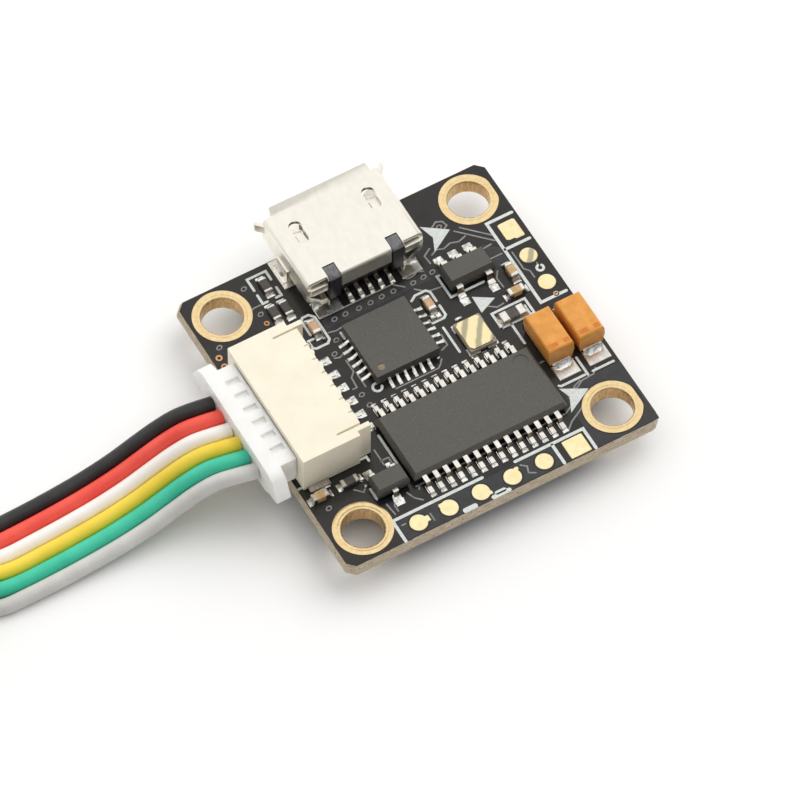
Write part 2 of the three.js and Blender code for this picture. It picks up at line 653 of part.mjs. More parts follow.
// The processor hangs under the board, leads up: it is built the right way up and turned over.
function processor(parent) {
  const { size, height, standoff, tips, pitch, perSide } = lqfp;
  const sheet = 0.14;
  const shoulder = standoff + height * 0.5;
  const wing = gullWing(size / 2 - 0.5, size / 2 + 0.3, tips / 2, shoulder, sheet);
  const rows = [];
  for (let turns = 0; turns < 4; turns += 1) {
    for (const place of spaced(perSide, pitch)) {
      rows.push(quarterTurns(alongX(wing, place - 0.11, place + 0.11), turns, 0, 0));
    }
    const reach = (perSide - 1) * pitch / 2 + 0.11;
    const low = shoulder - sheet / 2;
    const bar = box(-reach, reach, size / 2 - 0.6, size / 2 - 0.45, low, low + sheet);
    const strut = box(-0.2, 0.2, 1.9, size / 2 - 0.5, low, low + sheet);
    rows.push(quarterTurns(join(bar, strut), turns, 0, 0));
  }
  const paddle = box(-2, 2, -2, 2, shoulder - sheet / 2, shoulder + sheet / 2);
  const frame = join(paddle, ...rows);
  const body = cut(moulded(0, 0, size, size, standoff, standoff + height, 0.14), frame);
  const under = new THREE.Group();
  under.rotation.x = Math.PI;
  under.position.z = board.bottom;
  parent.add(under);
  piece(under, 'processor_body', body, finish.epoxy);
  piece(under, 'processor_leads', frame, finish.tin);
}

// ---------------------------------------------------------------- crystal, capacitors, resistors

function crystalCan(parent) {
  const { x, y, width, length, base, lid, inset } = crystal;
  const shell = box(x - width / 2, x + width / 2, y - length / 2, y + length / 2, 0.02, base);
  const well = box(x - 0.55, x + 0.55, y - 0.75, y + 0.75, 0.15, base + 1);
  piece(parent, 'crystal_base', cut(shell, well), finish.ceramic);
  const a = width / 2 - inset;
  const b = length / 2 - inset;
  const c = 0.2;
  const plate = outline([
    [x - a + c, y - b], [x + a - c, y - b], [x + a, y - b + c], [x + a, y + b - c],
    [x + a - c, y + b], [x - a + c, y + b], [x - a, y + b - c], [x - a, y - b + c],
  ]);
  piece(parent, 'crystal_lid', slab(plate, base, base + lid), finish.gold);
}

// The case: its sides lean in a little above and below the parting line, and its upper edges are round.
function tantalumCase(x) {
  const { y, width, length, height, parting } = tantalum;
  function section(middle, half, lowInset) {
    const right = [
      [half - lowInset, 0.1], [half, parting], [half - 0.03, height - 0.17],
      [half - 0.08, height - 0.06], [half - 0.18, height],
    ];
    const left = right.map(([a, z]) => [-a, z]).reverse();
    return outline([...right, ...left].map(([a, z]) => [middle + a, z]));
  }
  const across = alongY(section(x, width / 2, 0.12), y - length / 2, y + length / 2);
  const along = alongX(section(y, length / 2, 0.04), x - width / 2, x + width / 2);
  return across.intersect(along);
}

function tantalumCapacitors(parent) {
  const { xs, y, length, parting, strap } = tantalum;
  const end = length / 2;
  const sheet = 0.12;
  // A terminal: under the case, a short way up its end, and back inside to the pellet.
  const terminal = outline([
    [-end - 0.1, 0.02], [-end + 0.7, 0.02], [-end + 0.7, 0.02 + sheet], [-end + 0.16, 0.02 + sheet],
    [-end + 0.16, parting - sheet], [-end + 0.5, parting - sheet],
    [-end + 0.5, parting], [-end + 0.16 - sheet, parting], [-end + 0.16 - sheet, strap],
    [-end - 0.1, strap],
  ]);
  xs.forEach((x, index) => {
    const foot = alongX(terminal, x - 0.6, x + 0.6).translate([0, y, 0]);
    const pellet = box(x - 0.5, x + 0.5, y - end + 0.4, y + end - 0.4, 0.5, 1.2);
    const element = join(pellet, foot, quarterTurns(foot, 2, x, y));
    piece(parent, `tantalum_case_${index + 1}`, cut(tantalumCase(x), element), finish.orange);
    piece(parent, `tantalum_element_${index + 1}`, element, finish.tin);
  });
}

// Chip parts: middle in X and Y, and whether the length lies along Y.
const chipCapacitors = [
  [-3.94, 4.68, true], [2.44, 2.83, true], [7.6, 2.5, true], [7.15, 1.2, false], [-9.1, -5.15, false],
];
const chipResistors = [[-4.95, 8.5, true], [-5.4, 6.65, true], [-4.66, 6.6, true]];

// A chip's end caps stand slightly proud of its body all round.
function chipPart(x, y, upright, height) {
  const a = chip.length / 2;
  const b = chip.width / 2;
  const cap = 0.24;
  const proud = 0.02;
  const bodyBox = upright
    ? [x - b, x + b, y - a + cap, y + a - cap]
    : [x - a + cap, x + a - cap, y - b, y + b];
  const core = box(...bodyBox, 0.04, height - proud);
  const ends = [-1, 1].map((hand) => {
    const p = hand * a;
    const q = hand * (a - cap);
    const low = Math.min(p, q);
    const high = Math.max(p, q);
    return upright
      ? box(x - b - proud, x + b + proud, y + low, y + high, 0.02, height)
      : box(x + low, x + high, y - b - proud, y + b + proud, 0.02, height);
  });
  return join(core, ...ends);
}

function chipParts(parent) {
  chipCapacitors.forEach(([x, y, upright], index) => {
    piece(parent, `chip_capacitor_${index + 1}`, chipPart(x, y, upright, chip.capHeight), finish.capacitor);
  });
  chipResistors.forEach(([x, y, upright], index) => {
    const body = chipPart(x, y, upright, chip.resistorHeight);
    piece(parent, `chip_resistor_${index + 1}`, body, finish.resistor);
  });
}

// ---------------------------------------------------------------- assembly

const controller = new THREE.Group();
const topSide = new THREE.Group();
topSide.position.z = board.top;
const usbPort = new THREE.Group();
usbPort.position.x = usb.x;
topSide.add(usbPort);
controller.add(topSide);

circuitBoard(controller);
holePlating(controller);
usbShell(usbPort);
usbInside(usbPort);
wireSocket(topSide);
wirePlug(topSide);
wires(controller);
wireCoil(controller);
overlayChip(topSide);
gyroscope(topSide);
regulatorChip(topSide);
smallTransistor(topSide);
crystalCan(topSide);
tantalumCapacitors(topSide);
chipParts(topSide);
processor(controller);

export default controller;
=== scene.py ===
"""The looks of a small flight controller board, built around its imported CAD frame.

Places are in millimetres in the row frame, +Z up, unless a comment says metres. make() turns them into
metres.
"""

import math
import random

import bpy
import bmesh
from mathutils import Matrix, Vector


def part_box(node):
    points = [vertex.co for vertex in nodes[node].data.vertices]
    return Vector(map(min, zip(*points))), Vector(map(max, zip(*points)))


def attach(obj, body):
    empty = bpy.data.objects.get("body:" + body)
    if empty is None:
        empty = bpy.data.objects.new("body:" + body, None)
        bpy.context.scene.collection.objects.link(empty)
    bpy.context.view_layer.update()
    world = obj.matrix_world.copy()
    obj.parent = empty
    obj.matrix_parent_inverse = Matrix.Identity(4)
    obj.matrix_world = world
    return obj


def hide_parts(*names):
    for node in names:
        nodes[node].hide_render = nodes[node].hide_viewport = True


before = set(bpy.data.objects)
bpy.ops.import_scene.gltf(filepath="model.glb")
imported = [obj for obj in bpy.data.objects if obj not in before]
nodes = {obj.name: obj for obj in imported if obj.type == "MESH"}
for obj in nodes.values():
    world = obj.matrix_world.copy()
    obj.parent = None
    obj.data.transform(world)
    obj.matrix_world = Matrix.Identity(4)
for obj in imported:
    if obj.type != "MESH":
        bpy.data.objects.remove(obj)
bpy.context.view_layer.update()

MM = 0.001
# Edges sharper than this are shaded crisp on made pieces and bevelled on CAD nodes.
CREASE = math.radians(35)
dice = random.Random(7)


def span(node):
    """The lowest and highest corner of a CAD node, in millimetres."""
    low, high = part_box(node)
    return low / MM, high / MM


def middle_of(node):
    """The middle of a CAD node from above, in millimetres."""
    low, high = span(node)
    return (low.x + high.x) / 2, (low.y + high.y) / 2


board_low, board_high = span("circuit_board")
TOP = board_high.z
UNDER = board_low.z


# ---------------------------------------------------------------- camera, floor and light


def from_angles(azimuth, elevation):
    """A unit vector towards a place: azimuth 0 is on the -Y side and 90 on the +X side."""
    a, e = math.radians(azimuth), math.radians(elevation)
    return Vector((math.sin(a) * math.cos(e), -math.cos(a) * math.cos(e), math.sin(e)))


def add_camera():
    """Looks down on the board from the -X, -Y side, through a long lens."""
    aim = Vector((-2.07, -1.75, TOP)) * MM
    back = from_angles(-30.29, 57.76)
    metres_away = 0.37215
    roll = math.radians(0.57)
    data = bpy.data.cameras.new("camera")
    data.lens = 300.4
    data.sensor_width = 36
    data.clip_start = 0.02
    data.clip_end = 10
    camera = bpy.data.objects.new("camera", data)
    camera.rotation_mode = "QUATERNION"
    camera.location = aim + back * metres_away
    camera.rotation_quaternion = (-back).to_track_quat("-Z", "Y")
    camera.rotation_mode = "XYZ"
    camera.rotation_euler.rotate_axis("Z", roll)
    bpy.context.scene.collection.objects.link(camera)
    bpy.context.scene.camera = camera


def add_light(name, azimuth, elevation, distance, size, power, tint):
    """A square soft light, in metres and watts, that looks at the board. Shiny faces don't mirror it."""
    data = bpy.data.lights.new(name, "AREA")
    data.shape = "SQUARE"
    data.size = size
    data.energy = power
    data.color = tint
    towards = from_angles(azimuth, elevation)
    light = bpy.data.objects.new(name, data)
    light.location = towards * distance
    light.rotation_mode = "QUATERNION"
    light.rotation_quaternion = (-towards).to_track_quat("-Z", "Y")
    light.visible_glossy = False
    bpy.context.scene.collection.objects.link(light)


def add_world():
    """A white studio, brightest overhead and behind the USB socket, dimmer low down on the -Y side."""
    world = bpy.data.worlds.new("studio")
    bpy.context.scene.world = world
    world.use_nodes = True
    tree = world.node_tree
    place = tree.nodes.new("ShaderNodeTexCoord")
    bright = tree.nodes.new("ShaderNodeVectorMath")
    bright.operation = "DOT_PRODUCT"
    bright.inputs[1].default_value = (0.15, 0.62, 0.77)
    ramp = tree.nodes.new("ShaderNodeValToRGB")
    ramp.color_ramp.interpolation = "EASE"
    ramp.color_ramp.elements[0].position = 0.0
    ramp.color_ramp.elements[0].color = (0.26, 0.26, 0.265, 1)
    ramp.color_ramp.elements[1].position = 0.62
    ramp.color_ramp.elements[1].color = (1, 1, 1, 1)
    tree.links.new(place.outputs["Generated"], bright.inputs[0])
    tree.links.new(bright.outputs["Value"], ramp.inputs[0])
    background = tree.nodes["Background"]
    tree.links.new(ramp.outputs[0], background.inputs["Color"])
    background.inputs["Strength"].default_value = 1.05


def add_floor():
    """A pale sheet, six metres wide, with its top at the resting plane."""
    half = 3.0
    mesh = bpy.data.meshes.new("floor")
    corners = [(-half, -half, 0), (half, -half, 0), (half, half, 0), (-half, half, 0)]
    mesh.from_pydata(corners, [], [(0, 1, 2, 3)])
    floor = bpy.data.objects.new("floor", mesh)
    look = bpy.data.materials.new("floor")
    look.use_nodes = True
    shader = look.node_tree.nodes["Principled BSDF"]
    shader.inputs["Base Color"].default_value = (0.97, 0.968, 0.96, 1)
    shader.inputs["Roughness"].default_value = 0.7
    mesh.materials.append(look)
    bpy.context.scene.collection.objects.link(floor)


bpy.context.scene.view_settings.view_transform = "Standard"
add_camera()
add_world()
add_light("key", 100, 54, 0.8, 0.7, 2.6, (1.0, 0.985, 0.96))
add_floor()


# ---------------------------------------------------------------- materials


class Look:
    """A procedural material on one principled shader. Its textures are measured in millimetres."""

    def __init__(self, name, **sockets):
        self.material = bpy.data.materials.new(name)
        self.material.use_nodes = True
        self.tree = self.material.node_tree
        self.shader = self.tree.nodes["Principled BSDF"]
        for socket, value in sockets.items():
            self.shader.inputs[socket.replace("_", " ")].default_value = value
        place = self.tree.nodes.new("ShaderNodeTexCoord")
        scale = self.tree.nodes.new("ShaderNodeMapping")
        scale.inputs["Scale"].default_value = (1 / MM, 1 / MM, 1 / MM)
        self.tree.links.new(place.outputs["Object"], scale.inputs["Vector"])
        self.place = scale.outputs[0]

    def stretched(self, x, y, z):
        """The place in the piece, with each axis scaled on its own."""
        node = self.tree.nodes.new("ShaderNodeMapping")
        node.inputs["Scale"].default_value = (x, y, z)
        self.tree.links.new(self.place, node.inputs["Vector"])
        return node.outputs[0]

    def noise(self, scale, detail=3, place=None, distortion=0.0):
        node = self.tree.nodes.new("ShaderNodeTexNoise")
        node.inputs["Scale"].default_value = scale
        node.inputs["Detail"].default_value = detail
        node.inputs["Distortion"].default_value = distortion
        self.tree.links.new(place or self.place, node.inputs["Vector"])
        return node.outputs["Fac"]

    def math(self, operation, a, b=0.0):
        node = self.tree.nodes.new("ShaderNodeMath")
        node.operation = operation
        for socket, value in zip(node.inputs, (a, b)):
            if isinstance(value, (int, float)):
                socket.default_value = value
            else:
                self.tree.links.new(value, socket)
        return node.outputs[0]

    def ramp(self, fac, low, high, stops=(0.3, 0.7)):
        """A colour, or a grey for a number, that runs from low to high as fac passes the two stops."""
        node = self.tree.nodes.new("ShaderNodeValToRGB")
        for element, place, value in zip(node.color_ramp.elements, stops, (low, high)):
            element.position = place
            element.color = (*value, 1) if hasattr(value, "__len__") else (value, value, value, 1)
        self.tree.links.new(fac, node.inputs[0])
        return node.outputs[0]

    def mix(self, fac, a, b):
        """A colour that runs from a, where fac is 0, to b, where it is 1."""
        node = self.tree.nodes.new("ShaderNodeMix")
        node.data_type = "RGBA"
        for socket, value in ((node.inputs[0], fac), (node.inputs[6], a), (node.inputs[7], b)):
            if hasattr(value, "is_linked"):
                self.tree.links.new(value, socket)
            else:
                socket.default_value = (*value, 1)
        return node.outputs[2]

    def colour(self, value):
        self.tree.links.new(value, self.shader.inputs["Base Color"])

    def roughness(self, value):
        self.tree.links.new(value, self.shader.inputs["Roughness"])

    def bump(self, height, depth, strength=1.0):
        """Raises the surface by up to depth millimetres."""
        node = self.tree.nodes.new("ShaderNodeBump")
        node.inputs["Strength"].default_value = strength
        node.inputs["Distance"].default_value = depth * MM
        self.tree.links.new(height, node.inputs["Height"])
        self.tree.links.new(node.outputs[0], self.shader.inputs["Normal"])

    def normal_part(self, axis):
        """How far the surface faces along an axis, either way, from 0 to 1."""
        geometry = self.tree.nodes.new("ShaderNodeNewGeometry")
        split = self.tree.nodes.new("ShaderNodeSeparateXYZ")
        self.tree.links.new(geometry.outputs["Normal"], split.inputs[0])
        return self.math("ABSOLUTE", split.outputs[axis])

    def part(self, axis):
        """The place along one axis, in millimetres."""
        split = self.tree.nodes.new("ShaderNodeSeparateXYZ")
        self.tree.links.new(self.place, split.inputs[0])
        return split.outputs[axis]


def speckled(name, low, high, scale, roughness, grain=0.004, **sockets):
    """A surface whose colour and gloss wander between two values, with a fine grain in its height."""
    look = Look(name, **sockets)
    cloud = look.noise(scale)
    look.colour(look.ramp(cloud, low, high))
    look.roughness(look.ramp(look.noise(scale * 3), roughness * 0.85, roughness * 1.15))
    look.bump(look.noise(scale * 8), grain)
    return look.material


def mask_look():
    """Black solder mask on the two faces, and the snapped glass-epoxy laminate round the edge."""
    look = Look("solder_mask", Specular_Tint=(1.0, 0.95, 0.87, 1))
    face = look.ramp(look.normal_part("Z"), 0.0, 1.0, (0.55, 0.75))
    mask = look.ramp(look.noise(0.8), (0.007, 0.0075, 0.008), (0.014, 0.0145, 0.015))
    layers = look.noise(1.0, 4, look.stretched(2.0, 2.0, 26.0))
    glass = look.ramp(layers, (0.40, 0.31, 0.20), (0.66, 0.57, 0.44), (0.35, 0.62))
    chips = look.ramp(look.noise(9.0, 3), 0.0, 1.0, (0.62, 0.70))
    weave = look.mix(chips, glass, (0.10, 0.075, 0.045))
    look.colour(look.mix(face, weave, mask))
    look.roughness(look.mix(face, (0.75,) * 3, look.ramp(look.noise(2.5), 0.16, 0.26)))
    look.bump(look.noise(5.0, 2, look.stretched(1, 1, 3)), 0.006)
    return look.material


def gold_look(name, low, high, roughness):
    """Thin plating with a slightly pebbled face."""
    look = Look(name, Metallic=1.0)
    look.colour(look.ramp(look.noise(3.0), low, high))
    look.roughness(look.ramp(look.noise(9.0), roughness * 0.8, roughness * 1.3))
    look.bump(look.noise(14.0, 4), 0.006, 0.8)
    return look.material


def ring_look():
    """Gold rims, darker and more coppery down the bore's wall."""
    look = Look("ring_gold", Metallic=1.0)
    face = look.ramp(look.normal_part("Z"), 0.0, 1.0, (0.2, 0.75))
    rim = look.ramp(look.noise(4.0), (0.83, 0.61, 0.31), (0.93, 0.74, 0.42))
    wall = look.ramp(look.noise(6.0, 3, look.stretched(1, 1, 0.2)), (0.62, 0.38, 0.17), (0.86, 0.60, 0.30))
    look.colour(look.mix(face, wall, rim))
    look.roughness(look.ramp(look.noise(12.0), 0.2, 0.36))
    look.bump(look.noise(16.0, 3), 0.006, 0.8)
    return look.material


def sheet_look(name, low, high, roughness, streak):
    """Plated sheet metal with faint rolling marks along Y and a few small scuffs."""
    look = Look(name, Metallic=1.0)
    rolling = look.noise(1.0, 3, look.stretched(streak, 1.2, streak))
    scuffs = look.noise(2.2, 5, distortion=0.6)
    look.colour(look.mix(look.ramp(scuffs, 0.0, 1.0, (0.62, 0.74)), look.ramp(rolling, low, high), high))
    look.roughness(look.ramp(scuffs, roughness * 0.8, roughness * 1.35, (0.35, 0.7)))
    look.bump(rolling, 0.002, 0.6)
    return look.material


def lead_look():
    """Tin plating, bright on top, with painted shade down the sides that stands in for the dark board they
    mirror.
    """
    look = Look("tin_plate", Metallic=1.0)
    face = look.ramp(look.normal_part("Z"), 0.0, 1.0, (0.35, 0.8))
    bright = look.ramp(look.noise(2.5), (0.74, 0.70, 0.63), (0.95, 0.92, 0.85))
    # Painted shade: faces that do not look up get a dark brown in place of the dark surroundings they would
    # mirror.
    painted_side_shade = look.ramp(look.noise(6.0), (0.26, 0.21, 0.15), (0.52, 0.45, 0.36))
    look.colour(look.mix(face, painted_side_shade, bright))
    look.roughness(look.ramp(look.noise(8.0), 0.19, 0.31))
    look.bump(look.noise(9.0), 0.005)
    return look.material


def solder_look():
    """Lumpy solder, bright where it faces up, with painted shade down its sides."""
    look = Look("solder", Metallic=1.0)
    face = look.ramp(look.normal_part("Z"), 0.0, 1.0, (0.25, 0.8))
    bright = look.ramp(look.noise(4.0, 2), (0.50, 0.48, 0.44), (0.94, 0.93, 0.89), (0.36, 0.58))
    # Painted shade: faces that do not look up are mixed towards a dull brown.
    look.colour(look.mix(face, (0.42, 0.38, 0.32), bright))
    look.roughness(look.ramp(look.noise(11.0), 0.12, 0.28))
    look.bump(look.noise(7.0, 2), 0.03, 0.8)
    return look.material


def nylon_look():
    """Milky white nylon that lets a little light through."""
    look = Look("white_nylon", Subsurface_Weight=0.6, Subsurface_Scale=0.6 * MM, IOR=1.53)
    look.shader.inputs["Subsurface Radius"].default_value = (1.0, 0.9, 0.75)
    look.colour(look.ramp(look.noise(0.9), (0.87, 0.86, 0.83), (0.93, 0.925, 0.90)))
    look.roughness(look.ramp(look.noise(6.0), 0.28, 0.42))
    look.bump(look.noise(12.0), 0.004)
    return look.material


def ivory_look():
    """Ivory nylon with a few darker specks."""
    look = Look("ivory_moulding", Subsurface_Weight=0.15, Subsurface_Scale=0.3 * MM)
    specks = look.ramp(look.noise(3.5, 5), 0.0, 1.0, (0.70, 0.76))
    ivory = look.ramp(look.noise(0.7), (0.89, 0.82, 0.66), (0.94, 0.88, 0.72))
    look.colour(look.mix(specks, ivory, (0.55, 0.44, 0.33)))
    look.roughness(look.ramp(look.noise(5.0), 0.38, 0.5))
    look.bump(look.noise(16.0, 4), 0.005)
    return look.material


def epoxy_look():
    """Moulded epoxy: a fine matte grain with small lighter filler specks."""
    look = Look("chip_epoxy")
    specks = look.ramp(look.noise(22.0, 2), 0.0, 1.0, (0.62, 0.72))
    grain = look.ramp(look.noise(16.0, 4), (0.070, 0.066, 0.057), (0.104, 0.099, 0.086))
    look.colour(look.mix(specks, grain, (0.17, 0.16, 0.14)))
    look.roughness(look.ramp(look.noise(7.0), 0.46, 0.56))
    look.bump(look.noise(20.0, 4), 0.012)
    return look.material


def post_look():
    """Black nylon whose upward faces are painted paler, a painted sheen of the light overhead."""
    look = Look("black_moulding")
    # Painted sheen: faces that look up are mixed towards a paler grey.
    painted_top_sheen = look.ramp(look.normal_part("Z"), 0.0, 1.0, (0.7, 0.95))
    dark = look.ramp(look.noise(3.0), (0.014, 0.014, 0.016), (0.034, 0.034, 0.038))
    pale = look.ramp(look.noise(4.0), (0.10, 0.10, 0.11), (0.21, 0.21, 0.225))
    look.colour(look.mix(painted_top_sheen, dark, pale))
    look.roughness(look.ramp(look.noise(9.0), 0.26, 0.4))
    look.bump(look.noise(14.0, 3), 0.005)
    return look.material


def rubber_look(name, low, high):
    """Soft silicone with a satin skin."""
    look = Look(name, Specular_IOR_Level=0.45)
    look.colour(look.ramp(look.noise(0.6, 4), low, high))
    look.roughness(look.ramp(look.noise(2.5), 0.357, 0.525))
    look.bump(look.noise(3.0, 3), 0.02, 0.5)
    return look.material


def lid_look():
    """A polished gold lid that picks up slanting bands of light and shade."""
    look = Look("lid_gold", Metallic=1.0)
    slant = look.math("SUBTRACT", look.math("MULTIPLY", look.part("X"), 6.2),
                      look.math("MULTIPLY", look.part("Y"), 4.2))
    wavy = look.math("ADD", slant, look.math("MULTIPLY", look.noise(1.2), 2.5))
    bands = look.math("SINE", wavy)
    look.colour(look.ramp(bands, (0.96, 0.82, 0.48), (0.47, 0.43, 0.29), (0.1, 0.75)))
    look.roughness(look.ramp(look.noise(9.0), 0.2, 0.34))
    look.bump(look.noise(14.0, 4), 0.004, 0.8)
    return look.material


looks = {
    "mask": mask_look(),
    "pour": speckled("masked_pour", (0.020, 0.0205, 0.021), (0.032, 0.0325, 0.033), 2.0, 0.24),
    "gap": speckled("masked_gap", (0.005, 0.005, 0.005), (0.009, 0.009, 0.009), 3.0, 0.24),
    # Painted highlight: the tracks' pale grey stands in for light caught on their raised edges under the
    # mask.
    "trace": speckled("masked_copper", (0.20, 0.197, 0.19), (0.30, 0.295, 0.285), 3.0, 0.3),
    "silk": speckled("silkscreen", (0.60, 0.63, 0.60), (0.76, 0.79, 0.76), 6.0, 0.6, 0.008),
    "ring": ring_look(),
    "gold": gold_look("pad_gold", (0.95, 0.78, 0.42), (1.0, 0.90, 0.56), 0.26),
    "copper": gold_look("bare_copper", (0.55, 0.26, 0.12), (0.80, 0.46, 0.24), 0.3),
    "lid": lid_look(),
    "nickel": sheet_look("nickel_sheet", (0.90, 0.86, 0.77), (0.95, 0.91, 0.81), 0.36, 3.0),
    "tin": lead_look(),
    "tinned": sheet_look("tinned_pad", (0.66, 0.64, 0.59), (0.93, 0.91, 0.87), 0.24, 2.5),
    # Painted shade: a dark brown tin for the USB contacts and the socket anchors, which sit in shade by the
    # shell and the socket.
    "shade_painted_tin": sheet_look("shade_painted_tin", (0.22, 0.19, 0.15), (0.42, 0.38, 0.32), 0.3, 9.0),
    "solder": solder_look(),
    "black_plastic": post_look(),
    "ivory": ivory_look(),
    "nylon": nylon_look(),
    "epoxy": epoxy_look(),
    "ceramic": speckled("brown_ceramic", (0.26, 0.22, 0.17), (0.36, 0.31, 0.25), 3.0, 0.5),
    "capacitor": speckled("capacitor_ceramic", (0.55, 0.34, 0.20), (0.66, 0.43, 0.27), 4.0, 0.4, 0.008),
    "ochre": speckled("ochre_ceramic", (0.46, 0.30, 0.13), (0.62, 0.43, 0.21), 5.0, 0.4, 0.008),
    "resistor": speckled("resistor_film", (0.055, 0.05, 0.044), (0.085, 0.078, 0.068), 4.0, 0.35, 0.006),
    "orange": speckled("orange_epoxy", (0.68, 0.27, 0.040), (0.80, 0.355, 0.068), 2.0, 0.36, 0.006),
    "band": speckled("polarity_band", (0.58, 0.16, 0.018), (0.69, 0.22, 0.03), 4.0, 0.46, 0.006),
    "dot": speckled("pin_one_dot", (0.20, 0.15, 0.09), (0.30, 0.235, 0.15), 8.0, 0.5),
    "tie": speckled("tie_plastic", (0.014, 0.014, 0.015), (0.028, 0.028, 0.03), 2.0, 0.45),
}

WIRE_TINTS = {
    "black": ((0.018, 0.017, 0.018), (0.034, 0.032, 0.033)),
    "red": ((0.89, 0.078, 0.052), (0.96, 0.112, 0.076)),
    "white": ((0.93, 0.88, 0.82), (0.97, 0.93, 0.88)),
    "yellow": ((0.88, 0.64, 0.04), (0.95, 0.72, 0.07)),
    "green": ((0.040, 0.54, 0.34), (0.065, 0.63, 0.42)),
    "grey": ((0.57, 0.56, 0.53), (0.67, 0.655, 0.625)),
}
for colour, (low, high) in WIRE_TINTS.items():
    looks[colour + "_wire"] = rubber_look("wire_" + colour, low, high)


# ---------------------------------------------------------------- cords


COLOURS = list(WIRE_TINTS)
WIRE_LENGTH = 0.080
WIRE_DIAMETER = 0.00092

# The ribbon, in metres: place along X, middle in Y, height of the lowest wires' middle, spacing of the
# wires, and how far the two halves have folded up into a bundle, in degrees.
RIBBON = [
    (-0.01165, 0.00000, 0.00372, 0.00100, 0),
    (-0.01260, 0.00013, 0.00380, 0.00099, 0),
    (-0.01380, 0.00046, 0.00350, 0.00097, 0),
    (-0.01500, 0.00070, 0.00285, 0.00096, 0),
    (-0.01630, 0.00080, 0.00215, 0.00096, 0),
    (-0.01780, 0.00082, 0.00150, 0.00096, 0),
    (-0.01960, 0.00080, 0.00105, 0.00096, 0),
    (-0.02150, 0.00078, 0.00078, 0.00096, 0),
    (-0.02350, 0.00076, 0.00062, 0.00096, 0),
    (-0.02560, 0.00076, 0.00054, 0.00096, 0),
    (-0.02720, 0.00076, 0.00050, 0.00097, 22),
    (-0.02860, 0.00076, 0.00048, 0.00098, 55),
    (-0.02990, 0.00076, 0.00048, 0.00100, 85),
    (-0.03120, 0.00076, 0.00048, 0.00100, 90),
]
# The coil, in metres: two turns side by side, each two wires wide and three high.
COIL_CENTRE = Vector((-0.0354, 0.00725, 0))
OUTER_TURN = COIL_CENTRE.y - RIBBON[-1][1]
INNER_TURN = 0.00443
CROSSING = (math.radians(290), math.radians(345))
# The wires rise a little where they pass over the tie.
TIE_ANGLE = math.radians(90)
TIE_LIFT = 0.0003
TIE_REACH = 0.0011
TIE_SLOPE = 0.0024


def wire_point(station, index):
    """Where wire number index passes one station of the ribbon."""
    x, y, z, spacing, fold = station
    turn = math.radians(fold)
    side = 1 if index < 3 else -1
    rank = 2 - index if index < 3 else index - 3
    across = spacing / 2 + rank * spacing * math.cos(turn)
    up = (2 - rank) * spacing * math.sin(turn)
    return Vector((x, y + side * across, z + up))


def smooth(points, steps):
    """Points along a Catmull-Rom curve through the given ones."""
    made = []
    for i in range(len(points) - 1):
        a = points[max(i - 1, 0)]
        b, c = points[i], points[i + 1]
        d = points[min(i + 2, len(points) - 1)]
        for step in range(steps):
            t = step / steps
            made.append(0.5 * (2 * b + (c - a) * t + (2 * a - 5 * b + 4 * c - d) * t * t
                               + (3 * b - a - 3 * c + d) * t ** 3))
    return made + [points[-1]]


def ease(t):
    """Runs smoothly from 0 to 1 as t does, and stays level beyond."""
    t = min(max(t, 0.0), 1.0)
    return t * t * (3 - 2 * t)


def coil_point(angle, column, height):
    """A place in the coil: angle travelled clockwise from where the bundle meets it."""
    start, end = CROSSING
    middle = OUTER_TURN + (INNER_TURN - OUTER_TURN) * ease((angle - start) / (end - start))
    radius = middle + column
    from_tie = (angle - TIE_ANGLE) % math.tau
    from_tie = min(from_tie, math.tau - from_tie) * radius
    lift = TIE_LIFT * (1 - ease((from_tie - TIE_REACH) / TIE_SLOPE))
    place = -math.pi / 2 - angle
    return COIL_CENTRE + Vector((radius * math.cos(place), radius * math.sin(place), height + lift))


def wire_route(index):
    """The whole centreline of one wire, cut to length."""
    points = smooth([wire_point(station, index) for station in RIBBON], 5)
    last = points[-1]
    column = COIL_CENTRE.y - last.y - OUTER_TURN
    for share in (0.3, 0.6, 0.85):
        points.append(Vector((last.x + share * (COIL_CENTRE.x - last.x), last.y, last.z)))
    angle = 0.0
    total = sum((b - a).length for a, b in zip(points, points[1:]))
    while total < WIRE_LENGTH:
        point = coil_point(angle, column, last.z)
        step = (point - points[-1]).length
        if total + step > WIRE_LENGTH:
            point = points[-1].lerp(point, (WIRE_LENGTH - total) / step)
        points.append(point)
        total += step
        angle += math.radians(8)
    return points


def tube(name, points, radius, look, resolution=5):
    """A round cord as a curve object, in metres."""
    data = bpy.data.curves.new(name, "CURVE")
    data.dimensions = "3D"
    data.bevel_depth = radius
    data.bevel_resolution = resolution
    data.use_fill_caps = True
    line = data.splines.new("POLY")
    line.points.add(len(points) - 1)
    for target, point in zip(line.points, points):
        target.co = (*point, 1)
    line.use_smooth = True
    piece = bpy.data.objects.new(name, data)
    piece.data.materials.append(look)
    bpy.context.scene.collection.objects.link(piece)
    return piece


def bare_end(name, points):
    """The tinned strands that stand out of a wire's far end, in metres."""
    end = points[-1]
    along = (end - points[-2]).normalized()
    stretch = [end - along * 0.0003, end + along * 0.0006, end + along * 0.0016]
    tip = tube(name, stretch, 0.00027, looks["solder"], 3)
    for point, share in zip(tip.data.splines[0].points, (1.0, 1.0, 0.75)):
        point.radius = share
    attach(tip, "harness")
    return tip


def add_wires():
    """The six wires of the harness, each a round cord with a bare tinned end, in place of the CAD wires."""
    for index, colour in enumerate(COLOURS):
        points = wire_route(index)
        wire = tube("cord_" + colour, points, WIRE_DIAMETER / 2, looks[colour + "_wire"])
        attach(wire, "harness")
        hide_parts("wire_" + colour, *(["wire_coil"] if index == 0 else []))
        on_it = [bare_end("wire_end_" + colour, points), nodes[f"crimp_contact_{index + 1}"]]
        if index == 0:
            on_it += [nodes["plug_housing"], nodes["coil_tie"]]


add_wires()


